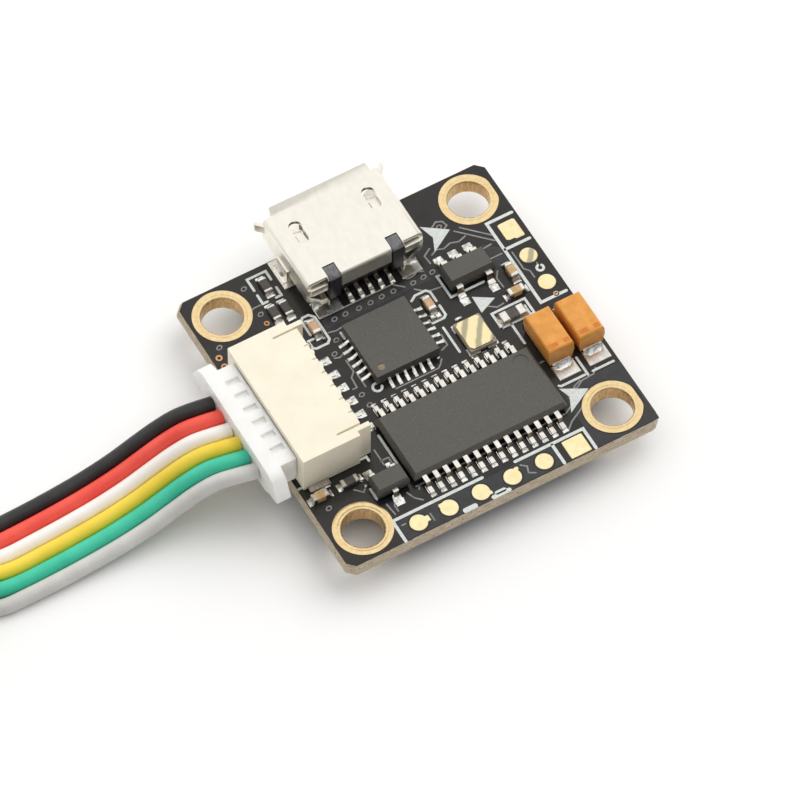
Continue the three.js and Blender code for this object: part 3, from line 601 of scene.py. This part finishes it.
# ---------------------------------------------------------------- mesh helpers


SILK_HIGH = TOP + 0.025
TRACE_HIGH = TOP + 0.014
POUR_HIGH = TOP + 0.006
PAD_HIGH = TOP + 0.035
SINK = 0.01


class Stock:
    """Points in millimetres and faces, gathered for one piece."""

    def __init__(self):
        self.points = []
        self.faces = []

    def skin(self, rings, loop=False):
        """Joins rings of equally many points, and closes the two ends unless they meet in a loop."""
        start, count = len(self.points), len(rings[0])
        for ring in rings:
            self.points.extend(ring)
        for level in range(len(rings) - (0 if loop else 1)):
            a = start + level * count
            b = start + (level + 1) % len(rings) * count
            for i in range(count):
                j = (i + 1) % count
                self.faces.append((a + i, a + j, b + j, b + i))
        if not loop:
            self.faces.append(tuple(range(start + count - 1, start - 1, -1)))
            last = start + (len(rings) - 1) * count
            self.faces.append(tuple(range(last, last + count)))
        return self

    def plate(self, outline, low, high, draft=0.0):
        """A flat outline raised from low to high, its top drawn in by draft."""
        rings = [[(x, y, low) for x, y in outline]]
        if draft:
            rings.append([(x, y, high - draft) for x, y in outline])
            rings.append([(x, y, high) for x, y in shrunk(outline, draft)])
        else:
            rings.append([(x, y, high) for x, y in outline])
        return self.skin(rings)

    def heap(self, outline, low, height, crown, lean):
        """A rounded mound of solder on an outline, its top leaning a little to one side."""
        x0 = sum(x for x, _ in outline) / len(outline)
        y0 = sum(y for _, y in outline) / len(outline)
        rings = []
        for level in range(5):
            turn = level / 4 * math.pi / 2
            size = crown + (1 - crown) * math.cos(turn)
            z = low + height * math.sin(turn) ** 0.8
            shift = 1 - size
            rings.append([(x0 + (x - x0) * size + lean[0] * shift,
                           y0 + (y - y0) * size + lean[1] * shift, z) for x, y in outline])
        self.skin(rings)

    def slope(self, axis, across, half, inner, outer, height, low, toe):
        """Solder that climbs to height at inner and runs out to a thin toe at outer, along X (0) or Y (1)."""
        rings = []
        for step in range(7):
            t = step / 6
            along = inner + (outer - inner) * t
            z = low + toe + (height - toe) * (1 - t) ** 2.0
            w = half * (0.88 + 0.12 * math.sin(math.pi * min(t * 1.3, 1.0)))
            shoulder = low + (z - low) * 0.45
            section = [(-w, low - SINK), (w, low - SINK), (w, shoulder),
                       (w * 0.62, z), (-w * 0.62, z), (-w, shoulder)]
            if axis == 0:
                rings.append([(along, across + a, b) for a, b in section])
            else:
                rings.append([(across + a, along, b) for a, b in section])
        self.skin(rings)

    def block(self, x0, x1, y0, y1, z0, z1, soft=0.04):
        """A box with rounded upright edges and a chamfered top."""
        self.plate(rounded(x0, x1, y0, y1, soft), z0, z1, soft)


def circle(x, y, radius, count, stretch=1.0):
    """Count points round a circle, or round an oval if it is stretched along Y."""
    turns = [math.tau * i / count for i in range(count)]
    return [(x + radius * math.cos(a), y + radius * stretch * math.sin(a)) for a in turns]


def arc(x, y, radius, start, end):
    """Points round part of a circle, angles in degrees from +X."""
    steps = 10
    turns = [math.radians(start + (end - start) * i / steps) for i in range(steps + 1)]
    return [(x + radius * math.cos(a), y + radius * math.sin(a)) for a in turns]


def rounded(x0, x1, y0, y1, radius):
    """A rectangle with round corners."""
    steps = 3
    radius = min(radius, (x1 - x0) / 2, (y1 - y0) / 2)
    made = []
    corners = ((x1 - radius, y0 + radius, -90), (x1 - radius, y1 - radius, 0),
               (x0 + radius, y1 - radius, 90), (x0 + radius, y0 + radius, 180))
    for x, y, start in corners:
        for step in range(steps + 1):
            turn = math.radians(start + 90 * step / steps)
            made.append((x + radius * math.cos(turn), y + radius * math.sin(turn)))
    return made


def shrunk(outline, inset):
    """An outline drawn in towards its middle by about inset."""
    x0 = sum(x for x, _ in outline) / len(outline)
    y0 = sum(y for _, y in outline) / len(outline)
    half_x = max(abs(x - x0) for x, _ in outline)
    half_y = max(abs(y - y0) for _, y in outline)
    a, b = max(1 - inset / half_x, 0.3), max(1 - inset / half_y, 0.3)
    return [(x0 + (x - x0) * a, y0 + (y - y0) * b) for x, y in outline]


def stroke(points, width):
    """The outline of a line of even width with mitred corners and round ends."""
    places = [Vector(p) for p in points]
    half = width / 2
    left, right = [], []
    for i, place in enumerate(places):
        before = (place - places[i - 1]).normalized() if i else None
        after = (places[i + 1] - place).normalized() if i < len(places) - 1 else None
        along = ((before or after) + (after or before)).normalized()
        normal = Vector((-along.y, along.x))
        reach = half / max(normal.dot(Vector((-(before or after).y, (before or after).x))), 0.4)
        left.append(place + normal * reach)
        right.append(place - normal * reach)
    ends = []
    for place, along in ((places[-1], places[-1] - places[-2]), (places[0], places[0] - places[1])):
        turn = math.atan2(along.y, along.x)
        ends.append([place + half * Vector((math.cos(turn + a), math.sin(turn + a)))
                     for a in (-math.pi / 4, 0, math.pi / 4)])
    return [tuple(p) for p in right + ends[0] + left[::-1] + ends[1]]


def make(name, stock, look, sharp=CREASE):
    """Turns gathered points and faces into a piece that rides on the board."""
    mesh = bpy.data.meshes.new(name)
    mesh.from_pydata([tuple(v * MM for v in p) for p in stock.points], [], stock.faces)
    work = bmesh.new()
    work.from_mesh(mesh)
    bmesh.ops.recalc_face_normals(work, faces=work.faces)
    work.to_mesh(mesh)
    work.free()
    mesh.shade_smooth()
    mesh.set_sharp_from_angle(angle=sharp)
    mesh.materials.append(look)
    piece = bpy.data.objects.new(name, mesh)
    bpy.context.scene.collection.objects.link(piece)
    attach(piece, "board")
    return piece


def dress(node, look, rounding, segments=2):
    """Gives a CAD node its material, and rounds its sharp edges by so many millimetres."""
    piece = nodes[node]
    piece.data.materials.clear()
    piece.data.materials.append(look)
    for polygon in piece.data.polygons:
        polygon.use_smooth = True
    weld = piece.modifiers.new("weld", "WELD")
    weld.merge_threshold = 1e-7
    flat = piece.modifiers.new("flat", "DECIMATE")
    flat.decimate_type = "DISSOLVE"
    flat.angle_limit = math.radians(1)
    bevel = piece.modifiers.new("bevel", "BEVEL")
    bevel.width = rounding * MM
    bevel.segments = segments
    bevel.limit_method = "ANGLE"
    bevel.angle_limit = CREASE
    even = piece.modifiers.new("even", "WEIGHTED_NORMAL")
    even.keep_sharp = False


# ---------------------------------------------------------------- board and its printed surface


HOLES = {"rear_left": (-8, -8), "rear_right": (8, -8), "front_right": (8, 8), "front_left": (-8, 8)}
HEADER_PADS = [(x, -9.2) for x in (-5.15, -3.2, -1.17, 0.85, 2.88)]
SIDE_PADS = [(9.05, 3.05), (9.05, 1.0)]
RING_SEGMENTS = 72


def add_rings():
    """Plated holes: a rim with a shallow groove on both faces, a rounded lip and the bore's wall."""
    wall = 1.22
    groove = 1.43
    for corner, (x, y) in HOLES.items():
        low, high = span("hole_plating_" + corner)
        outer = (high.y - low.y) / 2
        half = [(outer, 0.0), (outer, 0.035), (outer - 0.03, 0.05), (groove + 0.03, 0.05),
                (groove, 0.028), (groove - 0.03, 0.05), (wall + 0.11, 0.045), (wall + 0.03, 0.02),
                (wall, -0.04), (wall, -0.10)]
        upper = [(r, TOP + z) for r, z in half]
        under = [(r, UNDER - z) for r, z in reversed(half)]
        profile = upper + under
        rings = []
        for r, z in profile:
            rings.append([(min(px, high.x), py, z) for px, py in circle(x, y, r, RING_SEGMENTS)])
        plated = Stock().skin(rings, loop=True)
        piece = make("ring_" + corner, plated, looks["ring"], math.radians(50))
        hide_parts("hole_plating_" + corner)


def add_silk():
    """White print: header frames, part outlines, arrows and the gyroscope's corner mark."""
    ink = Stock()
    frames = [
        [(-6.36, -9.9), (-6.36, -8.42), (-0.65, -8.42)],
        [(1.45, -8.42), (5.83, -8.42), (5.83, -9.85)],
        [(3.8, -8.5), (3.8, -9.85)],
        [(9.7, 6.05), (8.05, 6.05), (8.05, -0.05), (9.7, -0.05)],
        [(8.1, 4.03), (9.7, 4.03)],
    ]
    outlines = [
        [(-4.3, 4.15), (-4.62, 4.15), (-4.62, 3.62), (-4.45, 3.5), (-3.7, 3.5), (-3.5, 3.7), (-3.5, 5.4),
         (-3.75, 5.68), (-4.15, 5.68), (-4.3, 5.5), (-4.3, 4.45)],
        [(1.75, 3.62), (2.1, 3.85), (2.8, 3.85), (2.98, 3.65), (2.98, 2.95)],
        [(2.98, 2.6), (2.98, 1.9), (2.8, 1.75), (2.05, 1.75)],
        [(-5.6, 8.25), (-5.6, 7.6), (-5.3, 7.6)],
        [(-4.75, 7.6), (-4.4, 7.6), (-4.4, 8.2)],
        [(-5.6, 8.6), (-5.6, 9.45), (-4.4, 9.45), (-4.4, 8.8)],
        [(5.25, -0.45), (5.25, 0.65), (7.38, 0.65), (7.38, -0.45), (5.25, -0.45)],
        [(4.05, 4.35), (3.82, 4.35), (3.82, 2.75), (5.95, 2.75)],
        [(2.42, 1.2), (2.42, -0.65)],
        [(5.87, -0.5), (5.87, -1.95)],
        [(6.1, -5.33), (6.2, -5.42), (7.75, -5.42)],
        [(8.25, -5.42), (9.6, -5.42)],
        [(7.9, -4.2), (7.9, -5.5)],
        [(-6.4, -6.0), (-6.4, -6.75)],
        [(-9.85, -4.06), (-8.1, -4.06)],
        [(-7.85, -4.06), (-5.55, -4.06), (-5.55, -4.35)],
        [(-2.75, 3.3), (-2.75, 3.75)],
        [(-4.28, -3.2), (-4.28, -5.6)],
        arc(-2.75, -0.4, 0.27, 60, 350),
        arc(9.2, 2.0, 0.2, 100, 400),
    ]
    for points in frames:
        ink.plate(stroke(points, 0.19), TOP - SINK, SILK_HIGH)
    for points in outlines:
        ink.plate(stroke(points, 0.15), TOP - SINK, SILK_HIGH)
    arrows = [
        [(4.65, 7.75), (4.95, 6.75), (4.55, 5.85), (6.05, 6.75)],
        [(4.85, 2.2), (4.8, 1.0), (5.95, 1.5)],
        [(6.0, -5.5), (6.25, -6.25), (5.8, -7.2), (7.45, -6.3)],
    ]
    for corners in arrows:
        ink.plate(corners, TOP - SINK, SILK_HIGH)
    bars = [(-2.65, -1.75, -9.95, -9.65), (-0.85, 0.4, -9.95, -9.7), (-0.55, 0.15, -9.8, -9.55)]
    for x0, x1, y0, y1 in bars:
        ink.plate(rounded(x0, x1, y0, y1, 0.12), TOP - SINK, SILK_HIGH)
    make("silkscreen", ink, looks["silk"])


def add_pours():
    """Wide copper areas that show paler through the mask, and the bare gaps round pads."""
    pour = Stock()
    hole_x, hole_y = HOLES["rear_right"]
    outlines = [
        [(5.95, -9.9), (hole_x, -9.9), *arc(hole_x, hole_y, 1.8, -90, -270), (hole_x, -5.6), (6.1, -5.6),
         (5.95, -7.4)],
        [(hole_x, -9.9), (9.9, -9.9), (9.9, -5.6), (hole_x, -5.6), *arc(hole_x, hole_y, 1.8, 90, -90)],
        [(-6.2, -9.88), (-6.2, -8.56), (3.66, -8.56), (3.66, -9.88)],
        [(-3.3, 5.0), (-3.3, 4.35), (3.4, 4.35), (3.4, 5.0)],
        [(6.2, 5.85), (7.9, 4.3), (7.9, 3.2), (7.1, 3.2), (7.1, 5.0)],
    ]
    for outline in outlines:
        pour.plate(outline, TOP - SINK, POUR_HIGH)
    make("masked_pours", pour, looks["pour"])
    gap = Stock()
    for x, y in HEADER_PADS + SIDE_PADS:
        gap.plate(circle(x, y, 0.62, 32), TOP - SINK, POUR_HIGH + 0.006)
    make("masked_gaps", gap, looks["gap"])


VIA_TILT = math.radians(20)


def add_via(stock, x, y):
    """An oval via under the mask: a raised rim round a lower, darker middle."""
    c, s = math.cos(VIA_TILT), math.sin(VIA_TILT)
    rim = TRACE_HIGH + 0.01
    rings = []
    for size, z in ((0.2, TOP - SINK), (0.2, TRACE_HIGH), (0.17, rim), (0.13, rim), (0.1, TOP - SINK)):
        oval = circle(0, 0, size, 20, 0.75)
        rings.append([(x + a * c - b * s, y + a * s + b * c, z) for a, b in oval])
    stock.skin(rings, loop=True)


def add_traces():
    """Copper tracks that show as fine ridges under the mask, their pale grey a painted highlight, and the
    masked vias.
    """
    copper = Stock()
    tracks = [
        [(-3.3, 5.15), (1.35, 5.15), (1.9, 4.65)],
        [(-3.35, 4.1), (-2.9, 4.0), (-2.5, 4.05)],
        [(-3.4, 2.0), (-3.4, 1.15), (-3.7, 0.85), (-3.75, 0.15), (-4.0, 0.15)],
        [(-3.0, 0.95), (-3.3, 0.85), (-3.3, -0.05)],
        [(2.1, 0.85), (2.05, 0.1), (1.6, -0.05)],
        [(-1.9, -1.0), (0.85, -1.0), (1.1, -0.8), (1.3, -0.55)],
        [(6.2, 6.55), (7.9, 4.85)],
        [(6.6, 6.6), (7.95, 5.25)],
        [(5.2, 7.35), (5.6, 7.6), (5.95, 7.45), (6.05, 7.1), (5.8, 6.95)],
        [(-6.4, 7.5), (-6.2, 7.6), (-5.75, 7.6)],
        [(-4.1, -7.1), (5.5, -7.1)],
        [(-4.05, -7.35), (-3.9, -7.1)],
        [(5.5, -7.1), (6.4, -6.6)],
        [(5.1, -8.1), (5.55, -7.7), (6.5, -7.2)],
        [(-4.95, -3.9), (-4.95, -5.0), (-4.6, -5.2)],
        [(-5.0, -4.7), (-4.5, -4.7), (-4.5, -5.1)],
        [(2.1, 5.2), (2.35, 5.05), (2.7, 5.05), (3.0, 5.2), (3.35, 5.05)],
        [(2.3, 4.25), (2.85, 3.75), (3.6, 3.65), (3.7, 3.65)],
        [(3.95, 5.3), (3.9, 5.9), (4.4, 6.2)],
        [(4.3, 5.75), (4.7, 5.95), (5.1, 5.8), (5.6, 5.95), (6.1, 5.8), (6.6, 5.95)],
        [(7.1, 3.9), (7.8, 3.9)],
        [(7.1, 4.7), (7.6, 4.75)],
        [(7.0, 3.0), (6.7, 2.6), (6.75, 1.9)],
        [(5.2, 1.3), (5.75, 0.9), (6.2, 0.95)],
        [(8.35, 3.7), (8.35, 2.4), (8.6, 2.1), (8.6, 1.6)],
        [(9.2, 2.4), (9.2, 2.25)],
        [(-5.55, -7.2), (-5.75, -7.6), (-5.75, -8.0)],
        [(-4.75, -7.2), (-4.55, -7.7), (-4.2, -8.05)],
        [(-6.1, -7.3), (-6.0, -8.1)],
        [(-7.2, -5.6), (-6.8, -6.0), (-6.6, -5.8)],
        [(6.5, -6.0), (7.0, -5.9), (7.4, -5.65), (8.2, -5.6), (8.5, -5.3)],
        [(6.2, -6.3), (6.9, -5.75), (7.3, -5.6)],
        [(5.95, -3.5), (6.2, -3.5)],
        [(1.6, -8.75), (1.9, -9.0), (1.75, -9.4), (2.1, -9.6)],
        [(-6.05, -8.9), (-5.8, -8.9)],
        [(-4.3, -9.0), (-4.3, -9.5)],
        [(-4.9, 0.4), (-4.9, -0.45), (-5.15, -0.7), (-5.15, -1.4), (-5.45, -1.5)],
        [(-4.75, -0.75), (-4.75, -1.6)],
        [(-3.9, 2.45), (-3.6, 2.35), (-3.2, 2.5)],
    ]
    for points in tracks:
        copper.plate(stroke(points, 0.09), TOP - SINK, TRACE_HIGH)
    vias = [(-2.6, 4.72), (-1.9, 4.72), (-1.05, 4.68), (-0.3, 4.68), (0.45, 4.72), (1.2, 4.72), (2.45, 4.65),
            (3.15, 4.7), (3.75, 4.75), (-3.2, 3.45), (-3.75, 2.7), (-3.75, -0.4), (-3.7, -1.2), (-6.05, 9.0),
            (-6.05, 7.05), (-9.15, 6.25), (4.2, 6.9), (5.6, 7.2), (-9.0, -5.95)]
    for x, y in vias:
        add_via(copper, x, y)
    make("masked_copper", copper, looks["trace"])


def eyelet(stock, x, y, radius, bore):
    """An open plated via: a flat rim round a sunk middle."""
    rings = []
    rim = PAD_HIGH - 0.01
    for r, z in ((radius, TOP - SINK), (radius, rim), (bore, rim), (bore * 0.8, TOP - SINK)):
        rings.append([(px, py, z) for px, py in circle(x, y, r, 20)])
    stock.skin(rings, loop=True)


def add_pads():
    """Bare gold pads of the two solder headers and the open vias."""
    gold = Stock()
    for x, y in HEADER_PADS:
        gold.plate(circle(x, y, 0.53, 36), TOP - SINK, PAD_HIGH, 0.02)
    spurs = [(-4.95, -4.45, -9.4, -9.0), (-3.68, -3.4, -9.02, -8.72), (-0.9, -0.6, -9.6, -9.35),
             (1.15, 1.42, -8.95, -8.72)]
    for x0, x1, y0, y1 in spurs:
        gold.plate(rounded(x0, x1, y0, y1, 0.05), TOP - SINK, PAD_HIGH - 0.004, 0.02)
    gold.plate(rounded(4.3, 5.6, -9.85, -8.6, 0.08), TOP - SINK, PAD_HIGH, 0.02)
    gold.plate([(8.5, 4.55), (8.65, 4.45), (8.95, 4.45), (9.05, 4.35), (9.55, 4.35), (9.6, 4.4), (9.6, 5.6),
                (9.5, 5.68), (8.6, 5.68), (8.5, 5.6)], TOP - SINK, PAD_HIGH, 0.02)
    polished_place, plain_place = SIDE_PADS
    gold.plate(circle(*plain_place, 0.52, 36), TOP - SINK, PAD_HIGH, 0.02)
    make("header_pads", gold, looks["gold"])
    # The side pad at polished_place takes the lid look, whose slanting bands are painted light and shade.
    polished = Stock().plate(circle(*polished_place, 0.52, 36), TOP - SINK, PAD_HIGH, 0.02)
    make("polished_pad", polished, looks["lid"])
    rims = Stock()
    for x, y, radius in ((-9.5, 5.65, 0.2), (-6.05, 6.35, 0.16), (-9.5, 5.0, 0.2), (9.1, 0.05, 0.17)):
        eyelet(rims, x, y, radius, radius * 0.55)
    make("open_vias", rims, looks["copper"])


# ---------------------------------------------------------------- chip parts and solder


solder = Stock()
tinned = Stock()


def blob(x0, x1, y0, y1, height):
    """One mound of solder on a rectangular pad."""
    lean = (dice.uniform(-0.04, 0.04), dice.uniform(-0.04, 0.04))
    solder.heap(rounded(x0, x1, y0, y1, 0.08), TOP - SINK, height + SINK, 0.2, lean)


def slope(axis, across, half, inner, outer, height, toe=0.03):
    """Solder that climbs a lead or a part's end from the top of the board."""
    solder.slope(axis, across, half, inner, outer, height, TOP, toe)


def flat_pad(x0, x1, y0, y1, height):
    """A pad with a thin, flat coat of solder."""
    tinned.plate(rounded(x0, x1, y0, y1, 0.06), TOP - SINK, TOP + height, 0.03)


def chip_part(name, x, y, core, height, cap, size=(1.0, 0.5), upright=False):
    """A chip capacitor or resistor: its body, its two end caps and the solder that climbs them."""
    a, b = size[0] / 2, size[1] / 2
    body, caps = Stock(), Stock()

    def turned(x0, x1, y0, y1):
        return (x + y0, x + y1, y + x0, y + x1) if upright else (x + x0, x + x1, y + y0, y + y1)

    body.block(*turned(-a + 0.1, a - 0.1, -b + 0.01, b - 0.01), TOP + 0.03, TOP + height - 0.02)
    for hand in (-1, 1):
        ends = sorted((hand * a, hand * (a - cap)))
        caps.block(*turned(*ends, -b, b), TOP + 0.02, TOP + height, 0.05)
        middle = y if upright else x
        across = x if upright else y
        inner = middle + hand * (a - 0.04)
        slope(1 if upright else 0, across, b + 0.03, inner, inner + hand * 0.3, height * 0.8)
    piece = make(name + "_body", body, core)
    make(name + "_ends", caps, looks["tin"])
    return piece


def add_chip_parts():
    """Chip capacitors and resistors: those of the frame, then two more and some bare solder."""
    tones = ("capacitor", "capacitor", "ochre", "ochre", "ochre")
    framed = [("capacitor", index, tone, 0.46, 0.26) for index, tone in enumerate(tones, 1)]
    framed += [("resistor", index, "resistor", 0.36, 0.2) for index in (1, 2, 3)]
    for kind, index, tone, height, cap in framed:
        node = f"chip_{kind}_{index}"
        low, high = span(node)
        x, y = middle_of(node)
        upright = high.y - low.y > high.x - low.x
        piece = chip_part(f"{kind}_{index}", x, y, looks[tone], height, cap, upright=upright)
        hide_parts(node)
    chip_part("resistor_4", 6.2, -0.05, looks["resistor"], 0.42, 0.46, (1.5, 0.7))
    chip_part("resistor_5", -7.2, -5.1, looks["resistor"], 0.36, 0.26, (1.05, 0.5))
    bare_pads = [
        (2.02, 2.42, 1.85, 2.3, 0.24),
        (2.38, 2.78, 1.8, 2.25, 0.2),
        (3.2, 3.7, 1.2, 1.42, 0.1),
        (1.05, 1.3, -0.5, -0.3, 0.1),
        (-5.0, -4.6, 3.75, 4.1, 0.16),
        (-3.9, -3.65, 3.75, 3.95, 0.2),
        (-6.7, -6.35, -5.35, -5.1, 0.14),
        (-6.65, -6.4, -5.85, -5.6, 0.1),
    ]
    for x0, x1, y0, y1, height in bare_pads:
        blob(x0, x1, y0, y1, height)


def add_lead_solder():
    """Solder at the toes of every lead, and up the sides of the gyroscope."""
    low, high = span("overlay_chip_leads")
    middle, _ = middle_of("overlay_chip_leads")
    count, pitch = 14, 0.65
    for i in range(count):
        x = middle + (i - (count - 1) / 2) * pitch
        for y, hand in ((low.y, -1), (high.y, 1)):
            slope(1, x, 0.19, y - hand * 0.05, y + hand * 0.2, 0.15)
            slope(1, x, 0.19, y - hand * 0.05, y - hand * 0.62, 0.05)
    low, high = span("gyroscope_body")
    middle, middle_y = middle_of("gyroscope_body")
    count, pitch = 6, 0.5
    for i in range(count):
        along = (i - (count - 1) / 2) * pitch
        for x, hand, reach in ((low.x, -1, 0.62), (high.x, 1, 0.74)):
            slope(0, middle_y + along, 0.13, x - hand * 0.02, x + hand * reach, 0.27)
        for y, hand, reach in ((low.y, -1, 0.6), (high.y, 1, 0.34)):
            slope(1, middle + along, 0.13, y - hand * 0.02, y + hand * reach, 0.27)
    low, high = span("regulator_leads")
    middle, _ = middle_of("regulator_leads")
    for along in (-0.95, 0.95):
        slope(1, middle + along - 0.04, 0.27, low.y + 0.3, low.y - 0.45, 0.2, 0.05)
    for along in (-0.95, 0, 0.95):
        slope(1, middle + along, 0.3, high.y - 0.3, high.y + 0.35, 0.22, 0.05)
    low, high = span("transistor_leads")
    middle, _ = middle_of("transistor_leads")
    slope(1, middle, 0.3, low.y + 0.3, low.y - 0.4, 0.22, 0.05)
    slope(1, middle - 0.65, 0.3, high.y - 0.3, high.y + 0.35, 0.24, 0.05)
    slope(1, middle + 0.65, 0.22, high.y - 0.3, high.y + 0.25, 0.2, 0.05)
    for index in (1, 2):
        low, high = span(f"tantalum_element_{index}")
        middle, _ = middle_of(f"tantalum_element_{index}")
        flat_pad(middle - 0.7, middle + 0.7, low.y - 0.95, low.y + 0.1, 0.08)
        slope(1, middle, 0.64, low.y + 0.02, low.y - 0.36, 0.34, 0.08)
        slope(1, middle, 0.7, high.y - 0.02, high.y + 0.35, 0.5, 0.05)


def add_connector_solder():
    """Solder on the feet of the USB shell, its contacts, and the wire socket's pins and anchors."""
    usb_half = 3.75
    middle, _ = middle_of("usb_shell")
    for hand in (-1, 1):
        edge = middle + hand * usb_half
        flat_pad(*sorted((edge - hand * 0.3, edge + hand * 0.42)), 7.8, 9.85, 0.08)
        slope(0, 9.0, 0.5, edge + hand * 0.05, edge + hand * 0.38, 0.42, 0.09)
    flat_pad(-3.35, -1.75, 5.1, 6.3, 0.06)
    flat_pad(2.1, 3.4, 5.15, 6.3, 0.06)
    for hand, x in ((-1, -3.1), (1, 3.15)):
        slope(1, x, 0.3, 6.1, 5.75, 0.4, 0.06)
    for index in range(1, 6):
        low, _ = span(f"usb_contact_{index}")
        middle, _ = middle_of(f"usb_contact_{index}")
        slope(1, middle, 0.17, low.y + 0.35, low.y - 0.2, 0.26, 0.04)
    for index in range(1, 7):
        _, high = span(f"socket_pin_{index}")
        _, middle_y = middle_of(f"socket_pin_{index}")
        slope(0, middle_y, 0.3, -5.6, high.x + 0.28, 0.62, 0.05)
    for name, hand in (("left", -1), ("right", 1)):
        low, high = span("socket_anchor_" + name)
        middle, _ = middle_of("socket_anchor_" + name)
        edge = low.y if hand < 0 else high.y
        slope(1, middle, 0.62, edge - hand * 0.06, edge + hand * 0.08, 0.16, 0.03)


def add_crystal_solder():
    """The crystal's four pads, one under each corner."""
    low, high = span("crystal_base")
    for x in (low.x - 0.1, high.x - 0.6):
        for y in (low.y - 0.1, high.y - 0.45):
            flat_pad(x, x + 0.7, y, y + 0.55, 0.07)


# ---------------------------------------------------------------- carried-over CAD nodes


def dress_nodes():
    """Gives every CAD node that is kept as it is its material and soft edges."""
    dress("circuit_board", looks["mask"], 0.03)
    dress("usb_shell", looks["nickel"], 0.035, 3)
    dress("usb_insulator", looks["black_plastic"], 0.04)
    for index in range(1, 6):
        dress(f"usb_contact_{index}", looks["shade_painted_tin"], 0.03)
    dress("socket_housing", looks["ivory"], 0.06, 3)
    for index in range(1, 7):
        dress(f"socket_pin_{index}", looks["tin"], 0.03)
        dress(f"crimp_contact_{index}", looks["gold"], 0.03)
    for side in ("left", "right"):
        dress("socket_anchor_" + side, looks["shade_painted_tin"], 0.03)
    dress("plug_housing", looks["nylon"], 0.09, 3)
    dress("coil_tie", looks["tie"], 0.08, 3)
    for name in ("overlay_chip", "regulator", "transistor", "processor"):
        dress(name + "_body", looks["epoxy"], 0.05)
        dress(name + "_leads", looks["tin"], 0.03)
    dress("gyroscope_body", looks["epoxy"], 0.03)
    dress("gyroscope_pads", looks["tin"], 0.015)
    dress("crystal_base", looks["ceramic"], 0.04)
    dress("crystal_lid", looks["lid"], 0.04, 3)
    for index in (1, 2):
        dress(f"tantalum_case_{index}", looks["orange"], 0.06, 3)
        dress(f"tantalum_element_{index}", looks["tin"], 0.03)


def add_marks():
    """The polarity bands across the tantalum capacitors' tops, and the gyroscope's pin-one dot."""
    low, high = span("gyroscope_body")
    dot = Stock().plate(circle(low.x + 0.55, low.y + 0.5, 0.2, 24), high.z - 0.02, high.z + 0.004)
    make("gyroscope_dot", dot, looks["dot"])
    band = Stock()
    for index in (1, 2):
        low, high = span(f"tantalum_case_{index}")
        middle, _ = middle_of(f"tantalum_case_{index}")
        front = low.y + 0.2
        for x0, x1 in ((-0.66, -0.08), (0.28, 0.66)):
            mark = rounded(middle + x0, middle + x1, front, front + 0.29, 0.03)
            band.plate(mark, high.z - 0.02, high.z + 0.006)
    make("tantalum_bands", band, looks["band"])


add_rings()
add_silk()
add_pours()
add_traces()
add_pads()
dress_nodes()
add_marks()
add_chip_parts()
add_lead_solder()
add_connector_solder()
add_crystal_solder()
make("solder", solder, looks["solder"], math.radians(60))
make("tinned_pads", tinned, looks["tinned"])
